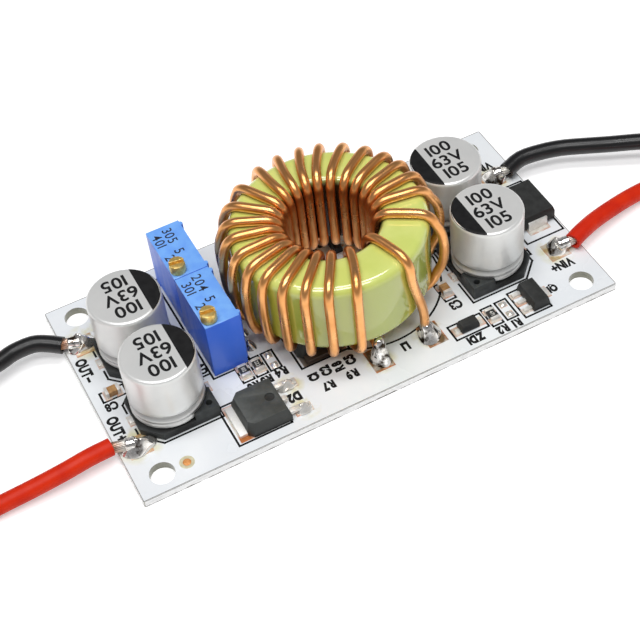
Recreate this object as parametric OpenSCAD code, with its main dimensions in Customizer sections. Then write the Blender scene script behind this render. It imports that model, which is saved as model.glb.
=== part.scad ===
// Boost converter module on an aluminium-core board.
// Millimetres, +Z up. The origin is the centre of the board's underside.
// +X runs along the board from the output end to the input end.

/* [Board] */
// Thickness of the board
board_t = 1.2; // [1:0.1:2]
// Corner radius of the board
board_corner_r = 0.2; // [0.2:0.1:2]
// Thickness of the tinned copper lands
land_t = 0.1; // [0.05:0.05:0.2]
// Border of a land around a chip terminal
land_border = 0.25; // [0.1:0.05:0.4]
// Diameter of the corner holes
hole_d = 3.4; // [2.5:0.1:4]
// Hole centre to the short edge
hole_inset_x = 3.75; // [3:0.05:5]
// Hole centre to the long edge
hole_inset_y = 2.85; // [2.5:0.05:4]
// Short output edge to the output capacitors
output_margin = 3.75; // [3.5:0.05:8]
// Input diode to the short input edge
input_margin = 0.45; // [0.3:0.05:4]
// Front row of small parts to the long front edge
front_margin = 1.35; // [1:0.05:4]
// Far capacitors to the long back edge
back_margin = 7.3; // [7:0.1:12]

/* [Coil] */
// Outer diameter of the toroid core
core_od = 26.5; // [24:0.1:30]
// Diameter of the hole in the core
core_id = 13.6; // [12.6:0.1:15]
// Height of the core
core_h = 11.4; // [8:0.1:14]
// Rounding of the core's edges
core_edge_r = 1.4; // [0.8:0.1:2]
// Diameter of the enamelled wire
wire_d = 1.3; // [0.8:0.05:1.3]
// Clearance between wire and core
wire_gap = 0.07; // [0.05:0.01:0.3]
// Clearance between the winding and the switching transistor below it
coil_seat_gap = 0.05; // [0.05:0.05:1]
// Clearance from the trimmers to the winding
trimmer_coil_gap = 0.95; // [0.8:0.05:3]
// Clearance from the winding to the input capacitors
coil_capacitor_gap = 0.96; // [0.8:0.01:3]
// Bulge of the loosest turns beyond the tight ones
slack_bulge = 1.3; // [0:0.1:1.4]

/* [Capacitors] */
// Side of the moulded base
cap_side = 10.3; // [9:0.1:11]
// Chamfer of the two marked corners of the base
cap_chamfer = 2.4; // [1:0.1:3]
// Thickness of the base plate
cap_base_t = 1.1; // [0.8:0.1:2]
// Height of the corner posts above the base plate
cap_post_h = 1.1; // [0.5:0.1:2]
// Diameter of the can
can_d = 10; // [8:0.1:10.2]
// Height of the can above the base plate
can_h = 9.4; // [7:0.1:15]
// Rounding of the can's top rim
can_rim_r = 0.5; // [0.3:0.1:1.5]
// Radius of the rolled groove round the can
can_groove_r = 0.75; // [0.4:0.05:1]
// Height of the groove above the bottom of the can
can_groove_z = 1.9; // [1.2:0.1:3]
// Gap between the two bases of a pair
cap_pair_gap = 0.8; // [0.2:0.1:3]
// Gap between the output capacitors and the trimmers
cap_trimmer_gap = 1.95; // [0.5:0.05:4]
// Gap between the input capacitors and the input diode
cap_diode_gap = 1.35; // [0.8:0.05:3]
// Gap between the front row of small parts and the near capacitors
row_cap_gap = 1.45; // [0.3:0.05:4]

/* [Trimmers] */
// Width of a trimmer
trim_w = 4.85; // [4.4:0.05:6]
// Length of a trimmer
trim_l = 9.9; // [9:0.1:11]
// Height of a trimmer on its feet
trim_h = 9.6; // [8:0.1:11]
// Height of the feet
trim_foot_h = 0.5; // [0.4:0.1:1]
// Gap between the two trimmers
trim_pair_gap = 0.1; // [0.05:0.05:1]
// Back end of the far trimmer to the long back edge
trim_back_margin = 2.6; // [1:0.1:5]
// Diameter of the screw head
screw_d = 2.2; // [1.8:0.05:2.4]
// Height of the screw head
screw_h = 1.5; // [1:0.1:2]
// Diameter of the screw shank
screw_shank_d = 1.6; // [1.2:0.05:1.7]
// Depth of the shank in the housing
screw_depth = 3; // [2:0.1:5]
// Running clearance of the shank and of the head
screw_gap = 0.05; // [0.02:0.01:0.1]
// Width of the screwdriver slot
screw_slot_w = 0.55; // [0.4:0.05:0.8]
// Depth of the screwdriver slot
screw_slot_depth = 0.7; // [0.4:0.05:0.9]
// Screw axis to the output side of the housing
screw_inset_x = 1.15; // [1.15:0.05:2]
// Screw axis to the near end of the housing
screw_inset_y = 1.3; // [1.2:0.05:2.5]
// Spacing of the trimmer pins
pin_pitch = 2.54; // [2:0.01:3]
// Width of a trimmer pin
pin_w = 0.55; // [0.4:0.05:0.8]

/* [Semiconductors] */
// Height of the power packages
power_h = 2.3; // [1.8:0.1:2.6]
// Length of a power package body
power_l = 6.1; // [5.5:0.1:6.6]
// Width of a power package body
power_w = 6.5; // [6:0.1:7]
// Width of the tab of a power package
power_tab_w = 5; // [4:0.1:5.5]
// Reach of the tab beyond the body
power_tab_reach = 1.05; // [0.5:0.05:1.5]
// Reach of the leads beyond the body
power_lead_reach = 2.95; // [2:0.05:3.5]
// Distance from the middle lead to an outer lead
power_lead_pitch = 2.28; // [2:0.01:2.5]
// Thickness of the lead frames
frame_t = 0.5; // [0.3:0.05:0.6]
// Output diode body to the long front edge
output_diode_margin = 1.75; // [1:0.05:2.5]
// Width of the input diode body
input_diode_w = 5.9; // [5:0.1:7]
// Length of the input diode body
input_diode_l = 6.9; // [6:0.1:8]
// Height of the input diode
input_diode_h = 2.4; // [2:0.1:3]
// Width of the strap leads of the input diode
strap_w = 3; // [2:0.1:4]
// Thickness of the strap leads
strap_t = 0.3; // [0.2:0.05:0.4]
// Width of the regulator body
regulator_w = 2.5; // [2.2:0.1:3]
// Length of the regulator body
regulator_l = 4.5; // [4:0.1:5]
// Height of the regulator body
regulator_h = 1.5; // [1.2:0.1:1.8]
// Length of the zener body
zener_l = 2.7; // [2.4:0.1:3]
// Width of the zener body
zener_w = 1.6; // [1.4:0.1:2]
// Height of the zener body
zener_h = 1.15; // [0.9:0.05:1.4]
// Length of the chip bodies
chip_l = 4.9; // [4.5:0.1:5.2]
// Width of the chip bodies
chip_w = 3.9; // [3.6:0.1:4.2]
// Height of the chip bodies
chip_h = 1.5; // [1.2:0.1:1.8]

/* [Chip resistors and ceramic capacitors] */
// Length of a chip component
chip_part_l = 2; // [1.6:0.1:2.4]
// Width of a chip component
chip_part_w = 1.25; // [0.8:0.05:1.5]
// Height of a chip resistor
resistor_h = 0.55; // [0.4:0.05:0.8]
// Height of a ceramic capacitor
ceramic_h = 0.95; // [0.6:0.05:1.25]
// Length of a metal end cap
chip_end_l = 0.4; // [0.25:0.05:0.6]
// Thickness of a metal end cap
chip_end_t = 0.05; // [0.03:0.01:0.1]

/* [Leads] */
// Diameter of the insulated leads
lead_d = 2.4; // [2:0.1:3]
// Diameter of the bare strands
strand_d = 1.5; // [1:0.1:1.8]
// Radius of a solder joint on a wire land
solder_r = 1.6; // [1.3:0.05:1.65]
// Height of a solder joint on a wire land
solder_h = 1.75; // [1.6:0.05:2]
// Radius of the outer turn of a coiled lead at its centre line
lead_coil_r = 13.8; // [12:0.1:15]
// Radial width of a coiled lead
lead_coil_w = 6.4; // [5:0.1:8]
// Thickness of the ties round the coiled leads
tie_t = 0.3; // [0.2:0.05:0.5]
// Width of the ties
tie_w = 2.5; // [2:0.1:4]
// Clearance between a tie and the coiled leads
tie_gap = 0.05; // [0.02:0.01:0.1]

/* [Hidden] */
$fn = 64;

// Levels
seat_z = board_t + land_t;
winding_r = core_od / 2 + wire_gap + wire_d;
core_z = seat_z + power_h + coil_seat_gap + wire_d + wire_gap;

// Board size from the row of parts along it and the stack of parts across it
board_w = output_margin + cap_side + cap_trimmer_gap + trim_w + trimmer_coil_gap + 2 * winding_r
    + coil_capacitor_gap + cap_side + cap_diode_gap + input_diode_w + input_margin;
board_l = front_margin + regulator_l + row_cap_gap + 2 * cap_side + cap_pair_gap + back_margin;

// Places along the board
output_cap_x = -board_w / 2 + output_margin + cap_side / 2;
trim_x = output_cap_x + cap_side / 2 + cap_trimmer_gap + trim_w / 2;
coil_x = trim_x + trim_w / 2 + trimmer_coil_gap + winding_r;
input_cap_x = coil_x + winding_r + coil_capacitor_gap + cap_side / 2;
input_diode_x = input_cap_x + cap_side / 2 + cap_diode_gap + input_diode_w / 2;

// Places across the board
row_y = -board_l / 2 + front_margin + regulator_l / 2;
near_cap_y = row_y + regulator_l / 2 + row_cap_gap + cap_side / 2;
far_cap_y = near_cap_y + cap_side + cap_pair_gap;
coil_y = (near_cap_y + far_cap_y) / 2;
far_trim_y = board_l / 2 - trim_back_margin - trim_l / 2;
near_trim_y = far_trim_y - trim_l - trim_pair_gap;
output_diode_at = [output_cap_x + cap_side / 2 + 4.65, -board_l / 2 + output_diode_margin + power_w / 2];
switch_at = [coil_x - 6.4, coil_y - 4.85];
regulator_at = [input_cap_x + 1.9, row_y];
zener_at = [input_cap_x - 8.25, row_y + 0.1];
controller_at = [coil_x + 5.8, coil_y - 4.6];
amplifier_at = [coil_x - 5.6, coil_y + 6.2];
driver_at = [coil_x + 3.9, coil_y + 8.1];
sense_at = [coil_x + 8.2, coil_y + 3.2];
sense_size = [3.2, 6.3, 0.6];
test_land_at = [-board_w / 2 + 7.15, -board_l / 2 + 2.8];
test_land_d = 1.1;

// Chip parts: place and turn. The long side lies along X at turn 0.
trim_row_y = near_trim_y - trim_l / 2 - land_border - 0.05 - chip_part_l / 2;
resistors = [
    [trim_x + 1.2, trim_row_y, 90], [trim_x + 3.2, trim_row_y, 90],
    [input_cap_x - 4.55, row_y + 0.1, 90],
    [coil_x + 1.4, coil_y + 10.2, 0], [coil_x - 1.9, coil_y + 8.4, 90]
];
ceramics = [
    [-board_w / 2 + 3.1, coil_y, 0],
    [coil_x + winding_r - 1.6, coil_y - 7.2, 90],
    [coil_x + 1.2, coil_y - 9.0, 90], [coil_x + 7.2, coil_y + 7.6, 0]
];
// Land pairs that carry solder but no part
empty_pairs = [[trim_x + 5.2, trim_row_y], [input_cap_x - 2.3, row_y + 0.1]];
empty_land_pitch = 1.9;
empty_land_side = 1;

// Lands of the coil leads and of the wires
coil_land = [2.85, 3.9];
coil_land_y = coil_y - core_od / 2 + 0.2;
coil_start_at = [coil_x - 0.4, coil_land_y];
coil_end_at = [coil_x + 7.7, coil_land_y + 0.1];
// The wire's end stands off the middle of its land
coil_end_foot = coil_end_at + [-0.7, 0.6];
wire_land = [3.1, 3.3];
output_plus_at = [-board_w / 2 + 2.7, coil_y - 9.75];
output_minus_at = [-board_w / 2 + 2.75, coil_y + 9.8];
input_plus_at = [board_w / 2 - 3.6, coil_y - 8.6];
input_minus_at = [board_w / 2 - 3.8, coil_y + 8.1];

// The turns as they were wound: angle on the outside of the core, angle in its hole, share of the bulge
turns = [
    [258, 267, 0], [243, 247, 0], [230.5, 233, 0], [218, 220.3, 0.1], [206, 207.7, 0.3], [194.5, 195.1, 0.45],
    [182, 182.5, 0.45], [168, 169.9, 0.45], [155.5, 157.3, 0.6], [141, 144.7, 0.6], [125, 131.5, 0.6],
    [107, 117.5, 0.4], [93, 103, 0.2], [79, 89, 0], [67, 75, 0], [53, 60, 0], [39.5, 43.5, 0], [27, 28.5, 0.2],
    [15.5, 13.5, 0.4], [3, -0.5, 0.7], [-11, -13.2, 1], [-32, -31, 0.8], [-69, -65, 0]
];

// Routes of the insulated leads from the board to their coils
output_plus_route = [[-35.5, -9, 2.5], [-38.5, -9.2, 2.6], [-42.1, -9.5, 2.4], [-46.6, -9.5, 1.9],
    [-50.9, -9.5, 1.6], [-54.7, -9.8, 1.5], [-58.5, -10.7, 1.5], [-62.3, -12, 1.5]];
output_minus_route = [[-34.9, 10, 2.6], [-36.6, 11.2, 2.8], [-38.5, 12, 3], [-41.3, 11.9, 3.1],
    [-43.4, 11.2, 3.2], [-47.2, 10.3, 3.4], [-51.2, 10.2, 3.6], [-55, 11, 3.8], [-58.7, 12.4, 3.9],
    [-62.3, 14, 3.9]];
input_plus_route = [[33.5, -9.5, 2.7], [35.2, -8.8, 2.8], [37.6, -7.92, 2.7], [39.5, -7.32, 2.5],
    [41.4, -6.8, 2.3], [44.4, -6.1, 2], [47.5, -5.6, 1.7], [51.5, -5.4, 1.5], [55.5, -6.2, 1.5],
    [59.4, -7.9, 1.5], [63.3, -9.8, 1.5], [67.1, -12, 1.5]];
input_minus_route = [[33.1, 7.1, 2.8], [35.9, 7.9, 3.1], [39.1, 7.5, 3.2], [42, 6.7, 3.2],
    [44.6, 5.4, 3.3], [48.4, 3.4, 3.4], [52.2, 1.4, 3.6], [55.8, -0.9, 3.8], [59.2, -3.8, 3.9],
    [62.6, -7.7, 3.9]];
output_coil_at = [-67, 1];
input_coil_at = [74, 0];
strand_z = seat_z + strand_d / 2 + 0.1;

// Vectors
function unit(v) = v / norm(v);
function heading(path, i) = unit(path[min(i + 1, len(path) - 1)] - path[max(i - 1, 0)]);
function square_to(v, t) = unit(v - (v * t) * t);

// A round bar swept along a path. side_hints gives one direction for each point, not along the path.
module swept_bar(path, side_hints, d, sides = 8) {
    rings = len(path);
    points = [
        for (i = [0:rings - 1])
            let (t = heading(path, i), u = square_to(side_hints[i], t), v = cross(t, u))
            for (k = [0:sides - 1])
                path[i] + d / 2 * (cos(360 * k / sides) * u + sin(360 * k / sides) * v)
    ];
    walls = [
        for (i = [0:rings - 2], k = [0:sides - 1])
            let (a = i * sides + k, b = i * sides + (k + 1) % sides)
            each [[a, a + sides, b + sides], [a, b + sides, b]]
    ];
    ends = [[for (k = [0:sides - 1]) k], [for (k = [1:sides]) rings * sides - k]];
    polyhedron(points, concat(ends, walls), convexity = 10);
}

// A straight round bar between two points
module rod(from, to, d) {
    run = to - from;
    translate(from)
        rotate([0, acos(run[2] / norm(run)), atan2(run[1], run[0])])
            cylinder(h = norm(run), d = d);
}

// A rectangle with round corners, from the origin
module round_rectangle(size, r) {
    translate([r, 0])
        square([size[0] - 2 * r, size[1]]);
    translate([0, r])
        square([size[0], size[1] - 2 * r]);
    for (x = [r, size[0] - r], y = [r, size[1] - r])
        translate([x, y])
            circle(r);
}

// A box centred on X and Y that stands on z = 0
module block(size) {
    translate([-size[0] / 2, -size[1] / 2, 0])
        cube(size);
}

// A rectangle centred on the origin with its two corners at -X cut off
module cut_rectangle(size, cut) {
    x = size[0] / 2;
    y = size[1] / 2;
    polygon([[x, -y], [x, y], [cut - x, y], [-x, y - cut], [-x, cut - y], [cut - x, -y]]);
}

// A moulded body: straight foot, then walls that draw in towards the top
module moulded_body(size, draw, foot_h, cut = 0.05) {
    thin = 0.01;
    linear_extrude(foot_h)
        cut_rectangle(size, cut);
    hull() {
        translate([0, 0, foot_h - thin])
            linear_extrude(thin)
                cut_rectangle(size, cut);
        translate([0, 0, size[2] - thin])
            linear_extrude(thin)
                cut_rectangle([size[0] - 2 * draw, size[1] - 2 * draw], cut);
    }
}

// A drop of solder: a cap of a sphere
module dome(r, h) {
    ball_r = (r * r + h * h) / (2 * h);
    rotate_extrude()
        intersection() {
            translate([0, h - ball_r])
                circle(ball_r);
            square([r, h]);
        }
}

// A flat strip bent along a profile in X and Z, of width w along Y
module strip(profile, w) {
    translate([0, w / 2, 0])
        rotate([90, 0, 0])
            linear_extrude(w)
                polygon(profile);
}

// A lead that leaves a body at height z, steps down and ends in a foot
module gull_lead(z, reach, foot, t, w) {
    step = reach - foot;
    strip([[0, z], [step * 0.45, z], [step - t * 0.3, t], [step - t * 0.3, 0], [reach, 0], [reach, t],
        [step + t * 0.5, t], [step * 0.45 + t, z + t], [0, z + t]], w);
}

module at(place, turn = 0, z = seat_z) {
    translate([place[0], place[1], z])
        rotate([0, 0, turn])
            children();
}

module board() {
    color("whitesmoke")
        difference() {
            translate([-board_w / 2, -board_l / 2, 0])
                linear_extrude(board_t)
                    round_rectangle([board_w, board_l], board_corner_r);
            for (x = [-1, 1], y = [-1, 1])
                translate([x * (board_w / 2 - hole_inset_x), y * (board_l / 2 - hole_inset_y), -1])
                    cylinder(h = board_t + 2, d = hole_d);
        }
}

// Lands, each a thin tinned plate on the board
module land(place, size, turn = 0) {
    at(place, turn, board_t)
        block([size[0], size[1], land_t]);
}

function turned(place, along, turn) = place + along * [cos(turn), sin(turn)];

module chip_part_lands(place, turn) {
    size = [chip_end_l + 2 * land_border, chip_part_w + 2 * land_border];
    for (s = [-1, 1])
        land(turned(place, s * (chip_part_l - chip_end_l) / 2, turn), size, turn);
}

module power_lands(place, turn) {
    land(turned(place, -power_tab_reach / 2 - 0.35, turn),
        [power_l + power_tab_reach - 0.3, power_w - 0.2], turn);
    for (s = [-1, 1])
        at(place, turn, board_t)
            translate([power_l / 2 + power_lead_reach - 1.05, s * power_lead_pitch, 0])
                block([2.5, 1.5, land_t]);
}

module small_outline_lands(place, turn) {
    at(place, turn, board_t)
        for (s = [-1, 1], k = [0:3])
            translate([s * (chip_w / 2 + 0.7), (k - 1.5) * 1.27, 0])
                block([1.2, 0.7, land_t]);
}

module copper_lands() {
    color("lightgray") {
        for (spot = [output_plus_at, output_minus_at, input_plus_at, input_minus_at])
            land(spot, wire_land);
        for (spot = [coil_start_at, coil_end_at])
            land(spot, coil_land);
        for (c = capacitor_places, s = [-1, 1])
            land([c[0] + s * terminal_mid, c[1]], [terminal_l + land_border, terminal_w + 0.75]);
        for (p = concat(resistors, ceramics))
            chip_part_lands([p[0], p[1]], p[2]);
        for (p = empty_pairs, s = [-1, 1])
            land([p[0], p[1] + s * empty_land_pitch / 2], [empty_land_side, empty_land_side]);
        power_lands(output_diode_at, 0);
        power_lands(switch_at, 90);
        for (s = [-1, 1])
            land([input_diode_x, coil_y + s * (input_diode_l / 2 - 0.1)], [strap_w + 0.3, 2.3]);
        for (k = [-1:1])
            land([regulator_at[0] - regulator_w / 2 - 0.7, regulator_at[1] + k * 1.5], [1.5, 0.9]);
        land([regulator_at[0] + regulator_w / 2 + 0.3, regulator_at[1]], [1.6, 2 * regulator_tab_r + 0.2]);
        for (s = [-1, 1])
            land([zener_at[0] + s * (zener_l / 2 + 0.35), zener_at[1]], [1.3, 1.5]);
        small_outline_lands(controller_at, 0);
        small_outline_lands(amplifier_at, 0);
        for (p = driver_feet)
            land(driver_at + p, [0.9, 0.8]);
        for (s = [-1, 1])
            land(sense_at + [0, s * (sense_size[1] / 2 - 0.3)], [sense_size[0] + 0.2, 1.4]);
        for (y = [near_trim_y, far_trim_y], k = [-1:1])
            land([pin_foot_x, y + k * pin_pitch], [1.7, 1.5]);
        at(test_land_at, 0, board_t)
            cylinder(h = land_t, d = test_land_d);
    }
}

// Coil
module toroid_core() {
    color("yellowgreen")
        translate([coil_x, coil_y, core_z])
            rotate_extrude()
                translate([core_id / 2, 0])
                    round_rectangle([(core_od - core_id) / 2, core_h], core_edge_r);
}

wire_in_r = core_id / 2 - wire_gap - wire_d / 2;
wire_out_r = core_od / 2 + wire_gap + wire_d / 2;
wire_low_z = core_z - wire_gap - wire_d / 2;
wire_high_z = core_z + core_h + wire_gap + wire_d / 2;
wire_bend_r = core_edge_r + wire_gap + wire_d / 2;
bend_steps = [0, 30, 60, 90];
stub_bend_r = wire_d;
last_turn = len(turns) - 1;

// A point of the wire: distance from the coil's axis, height, angle
function around(r, z, a) = [coil_x + r * cos(a), coil_y + r * sin(a), z];
function azimuth(p) = atan2(p[1] - coil_y, p[0] - coil_x);
function from_axis(p) = norm([p[0] - coil_x, p[1] - coil_y]);

// The four bends of one turn: under the core, into the hole, over the top and down the outside
function inner_low_bend(a) = [for (t = bend_steps)
    around(wire_in_r + wire_bend_r * (1 - sin(t)), wire_low_z + wire_bend_r * (1 - cos(t)), a)];
function inner_high_bend(a) = [for (t = bend_steps)
    around(wire_in_r + wire_bend_r * (1 - cos(t)), wire_high_z - wire_bend_r * (1 - sin(t)), a)];
function outer_high_bend(a) = [for (t = bend_steps)
    around(wire_out_r - wire_bend_r * (1 - sin(t)), wire_high_z - wire_bend_r * (1 - cos(t)), a)];
function outer_low_bend(a) = [for (t = bend_steps)
    around(wire_out_r - wire_bend_r * (1 - cos(t)), wire_low_z + wire_bend_r * (1 - sin(t)), a)];

// The run down the outside, which stands off the core where the turn is slack
function outer_run(a, bulge) = let (top = wire_high_z - wire_bend_r, low = wire_low_z + wire_bend_r)
    [for (t = [0.25, 0.5, 0.75]) around(wire_out_r + bulge * sqrt(sin(180 * t)), top + (low - top) * t, a)];

function start_lead() = let (r = from_axis(coil_start_at), a = azimuth(coil_start_at)) concat(
    [around(r, seat_z, a)],
    [for (t = bend_steps)
        around(r - stub_bend_r * (1 - cos(t)), wire_low_z - stub_bend_r * (1 - sin(t)), a)]);
function end_lead() = let (foot = coil_end_foot, high = seat_z + coil_joint_h)
    [[foot[0], foot[1], high + wire_d], [foot[0], foot[1], high], [foot[0], foot[1], seat_z]];
function one_turn(i) = let (a = turns[i][0], b = turns[i][1]) concat(
    inner_low_bend(b), inner_high_bend(b), outer_high_bend(a),
    i < last_turn ? concat(outer_run(a, slack_bulge * turns[i][2]), outer_low_bend(a)) : []);

module toroid_winding() {
    path = concat(start_lead(), [for (i = [0:last_turn]) each one_turn(i)], end_lead());
    round_axis = [for (p = path) [-sin(azimuth(p)), cos(azimuth(p)), 0]];
    color("peru")
        swept_bar(path, round_axis, wire_d);
}

// Capacitors. The chamfered side of the base points to -X at turn 0.
capacitor_places = [
    [output_cap_x, far_cap_y, 0], [output_cap_x, near_cap_y, 0],
    [input_cap_x, near_cap_y, 180], [input_cap_x, far_cap_y, 180]
];
terminal_w = 1;
terminal_t = 0.25;
terminal_l = 3;
terminal_reach = 0.6;
terminal_mid = cap_side / 2 + terminal_reach - terminal_l / 2;
post_side = 3.4;
dimple_d = 0.9;
dimple_inset = 1;

module capacitor_base(c) {
    color("dimgray")
        at(c, c[2])
            difference() {
                linear_extrude(cap_base_t + cap_post_h)
                    cut_rectangle([cap_side, cap_side], cap_chamfer);
                translate([0, 0, cap_base_t])
                    cylinder(h = cap_post_h + 1, d = can_d + 0.1);
                for (turn = [0, 90])
                    rotate([0, 0, turn])
                        translate([0, 0, cap_base_t])
                            block([cap_side + 1, cap_side - 2 * post_side, cap_post_h + 1]);
                for (s = [-1, 1])
                    translate([s * terminal_mid, 0, -1])
                        block([terminal_l, terminal_w, terminal_t + 1]);
                for (s = [-1, 1])
                    translate([cap_side / 2 - dimple_inset, s * (cap_side / 2 - dimple_inset), cap_base_t])
                        cylinder(h = cap_post_h + 1, d = dimple_d);
            }
}

module capacitor_can(c) {
    color("silver")
        at(c, c[2], seat_z + cap_base_t)
            rotate_extrude()
                difference() {
                    union() {
                        square([can_d / 2 - can_rim_r, can_h]);
                        translate([0, 0])
                            round_rectangle([can_d / 2, can_h], can_rim_r);
                    }
                    translate([can_d / 2 + can_groove_r * 0.4, can_groove_z])
                        circle(can_groove_r);
                }
}

module capacitor_terminals() {
    color("gainsboro")
        for (c = capacitor_places, s = [-1, 1])
            at([c[0] + s * terminal_mid, c[1]])
                block([terminal_l, terminal_w, terminal_t]);
}

// Trimmers
pin_t = 0.4;
pin_l = 3.2;
pin_foot_x = trim_x + trim_w / 2 + 0.85;
trim_rib_r = 0.35;
trim_foot_l = 1.3;
slot_turn = -8;

module trimmer_housing(y) {
    color("royalblue")
        at([trim_x, y])
            difference() {
                union() {
                    translate([0, 0, trim_foot_h])
                        block([trim_w, trim_l, trim_h - trim_foot_h]);
                    for (s = [-1, 1])
                        translate([0, s * (trim_l - trim_foot_l) / 2, 0])
                            block([trim_w, trim_foot_l, trim_foot_h]);
                    for (s = [-1, 1])
                        translate([trim_w / 2, s * (trim_l / 2 - 2 * trim_rib_r), trim_foot_h])
                            cylinder(h = trim_h - trim_foot_h, r = trim_rib_r);
                }
                translate([screw_inset_x - trim_w / 2, screw_inset_y - trim_l / 2, trim_h - screw_depth])
                    cylinder(h = screw_depth + 1, d = screw_shank_d + 2 * screw_gap);
            }
}

module trimmer_screw(y) {
    color("goldenrod")
        translate([trim_x - trim_w / 2 + screw_inset_x, y - trim_l / 2 + screw_inset_y, seat_z + trim_h])
            difference() {
                union() {
                    translate([0, 0, screw_gap])
                        cylinder(h = screw_h, d = screw_d);
                    translate([0, 0, screw_gap * 2 - screw_depth])
                        cylinder(h = screw_depth, d = screw_shank_d);
                }
                translate([0, 0, screw_gap + screw_h - screw_slot_depth])
                    rotate([0, 0, slot_turn])
                        block([screw_d + 1, screw_slot_w, screw_slot_depth + 1]);
            }
}

module trimmer_pins() {
    color("gainsboro")
        for (y = [near_trim_y, far_trim_y], k = [-1:1])
            at([pin_foot_x + 0.6 - pin_l / 2, y + k * pin_pitch])
                block([pin_l, pin_w, pin_t]);
}

// Power packages. The tab points to -X and the leads to +X at turn 0.
power_draw = 0.35;
power_foot_h = 0.9;
power_lead_w = 0.75;
power_cut = 0.7;
power_mark_d = 1.3;

module power_body(place, turn) {
    color("darkslategray")
        at(place, turn)
            difference() {
                moulded_body([power_l, power_w, power_h], power_draw, power_foot_h, power_cut);
                translate([-power_l / 2 - 1, -power_tab_w / 2, -1])
                    cube([power_l, power_tab_w, frame_t + 1]);
                translate([power_l / 2 - 1.6, 0, power_h - 0.15])
                    cylinder(h = 1, d = power_mark_d);
            }
}

module power_frame(place, turn) {
    color("gainsboro")
        at(place, turn) {
            translate([-power_l / 2 - power_tab_reach, -power_tab_w / 2, 0])
                cube([power_l + power_tab_reach - 1, power_tab_w, frame_t]);
            for (s = [-1, 1])
                translate([power_l / 2, s * power_lead_pitch, 0])
                    gull_lead(power_foot_h - frame_t, power_lead_reach, 1.1, frame_t, power_lead_w);
            translate([power_l / 2, -power_lead_w / 2, power_foot_h - frame_t])
                cube([0.7, power_lead_w, frame_t]);
        }
}

module output_diode_body() {
    power_body(output_diode_at, 0);
}

module output_diode_frame() {
    power_frame(output_diode_at, 0);
}

module switch_body() {
    power_body(switch_at, 90);
}

module switch_frame() {
    power_frame(switch_at, 90);
}

// Input diode: a block on two straps that wrap its ends
module input_diode_body() {
    color("darkslategray")
        at([input_diode_x, coil_y], 90, seat_z + strap_t)
            moulded_body([input_diode_l, input_diode_w, input_diode_h - strap_t], 0.2, 1.4);
}

module input_diode_straps() {
    rise = 1.5;
    color("gainsboro")
        for (turn = [90, -90])
            at([input_diode_x, coil_y], turn)
                translate([input_diode_l / 2, 0, 0])
                    strip([[-1.2, 0], [strap_t, 0], [strap_t, rise], [0, rise], [0, strap_t], [-1.2, strap_t]],
                        strap_w);
}

// Regulator transistor: three flat leads and a rounded tab
regulator_tab_r = 0.9;

module regulator_body() {
    color("darkslategray")
        at(regulator_at)
            moulded_body([regulator_w, regulator_l, regulator_h], 0.2, 0.6);
}

module regulator_leads() {
    lead_t = 0.4;
    color("gainsboro")
        at(regulator_at) {
            for (k = [-1:1])
                translate([-regulator_w / 2 - 1.2, k * 1.5 - 0.25, 0])
                    cube([1.2, 0.5, lead_t]);
            translate([regulator_w / 2, 0, 0])
                linear_extrude(lead_t)
                    intersection() {
                        circle(regulator_tab_r);
                        translate([0, -regulator_tab_r])
                            square(2 * regulator_tab_r);
                    }
        }
}

// Zener diode with two flat leads
module zener_body() {
    color("darkslategray")
        at(zener_at)
            moulded_body([zener_l, zener_w, zener_h], 0.15, 0.55);
}

module zener_leads() {
    color("gainsboro")
        at(zener_at)
            for (turn = [0, 180])
                rotate([0, 0, turn])
                    translate([zener_l / 2, -0.3, 0])
                        cube([0.6, 0.6, 0.2]);
}

// Eight-lead chips
chip_lead_z = 0.55;
chip_lead_t = 0.2;

module chip_body(place) {
    color("darkslategray")
        at(place, 0, seat_z + 0.1)
            moulded_body([chip_w, chip_l, chip_h - 0.1], 0.15, 0.75);
}

module chip_leads(place) {
    color("gainsboro")
        at(place)
            for (turn = [0, 180], k = [0:3])
                rotate([0, 0, turn])
                    translate([chip_w / 2, (k - 1.5) * 1.27, 0])
                        gull_lead(chip_lead_z, 1.05, 0.5, chip_lead_t, 0.42);
}

module controller_body() {
    chip_body(controller_at);
}

module controller_leads() {
    chip_leads(controller_at);
}

module amplifier_body() {
    chip_body(amplifier_at);
}

module amplifier_leads() {
    chip_leads(amplifier_at);
}

// Small three-lead transistor
driver_size = [1.3, 2.9, 1.0];
driver_feet = [[-1.15, -0.95], [-1.15, 0.95], [1.15, 0]];

module driver_body() {
    color("darkslategray")
        at(driver_at, 0, seat_z + 0.1)
            moulded_body(driver_size, 0.12, 0.5);
}

module driver_leads() {
    color("gainsboro")
        at(driver_at)
            for (p = driver_feet)
                translate([sign(p[0]) * driver_size[0] / 2, p[1], 0])
                    rotate([0, 0, p[0] > 0 ? 0 : 180])
                        gull_lead(0.4, 0.7, 0.35, 0.15, 0.4);
}

// Chip parts: a ceramic block and two metal end caps that wrap it
module chip_block(size) {
    translate([0, 0, chip_end_t])
        block([size[0] - 2 * chip_end_t, size[1] - 2 * chip_end_t, size[2] - 2 * chip_end_t]);
}

module chip_ends(size, end_l) {
    difference() {
        block(size);
        chip_block(size);
        translate([0, 0, -1])
            block([size[0] - 2 * end_l, size[1] + 1, size[2] + 2]);
    }
}

resistor_size = [chip_part_l, chip_part_w, resistor_h];
ceramic_size = [chip_part_l, chip_part_w, ceramic_h];

module resistor_bodies() {
    color("dimgray")
        for (p = resistors)
            at(p, p[2])
                chip_block(resistor_size);
}

module resistor_ends() {
    color("gainsboro")
        for (p = resistors)
            at(p, p[2])
                chip_ends(resistor_size, chip_end_l);
}

module ceramic_bodies() {
    color("peru")
        for (p = ceramics)
            at(p, p[2])
                chip_block(ceramic_size);
}

module ceramic_ends() {
    color("gainsboro")
        for (p = ceramics)
            at(p, p[2])
                chip_ends(ceramic_size, chip_end_l);
}

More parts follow.
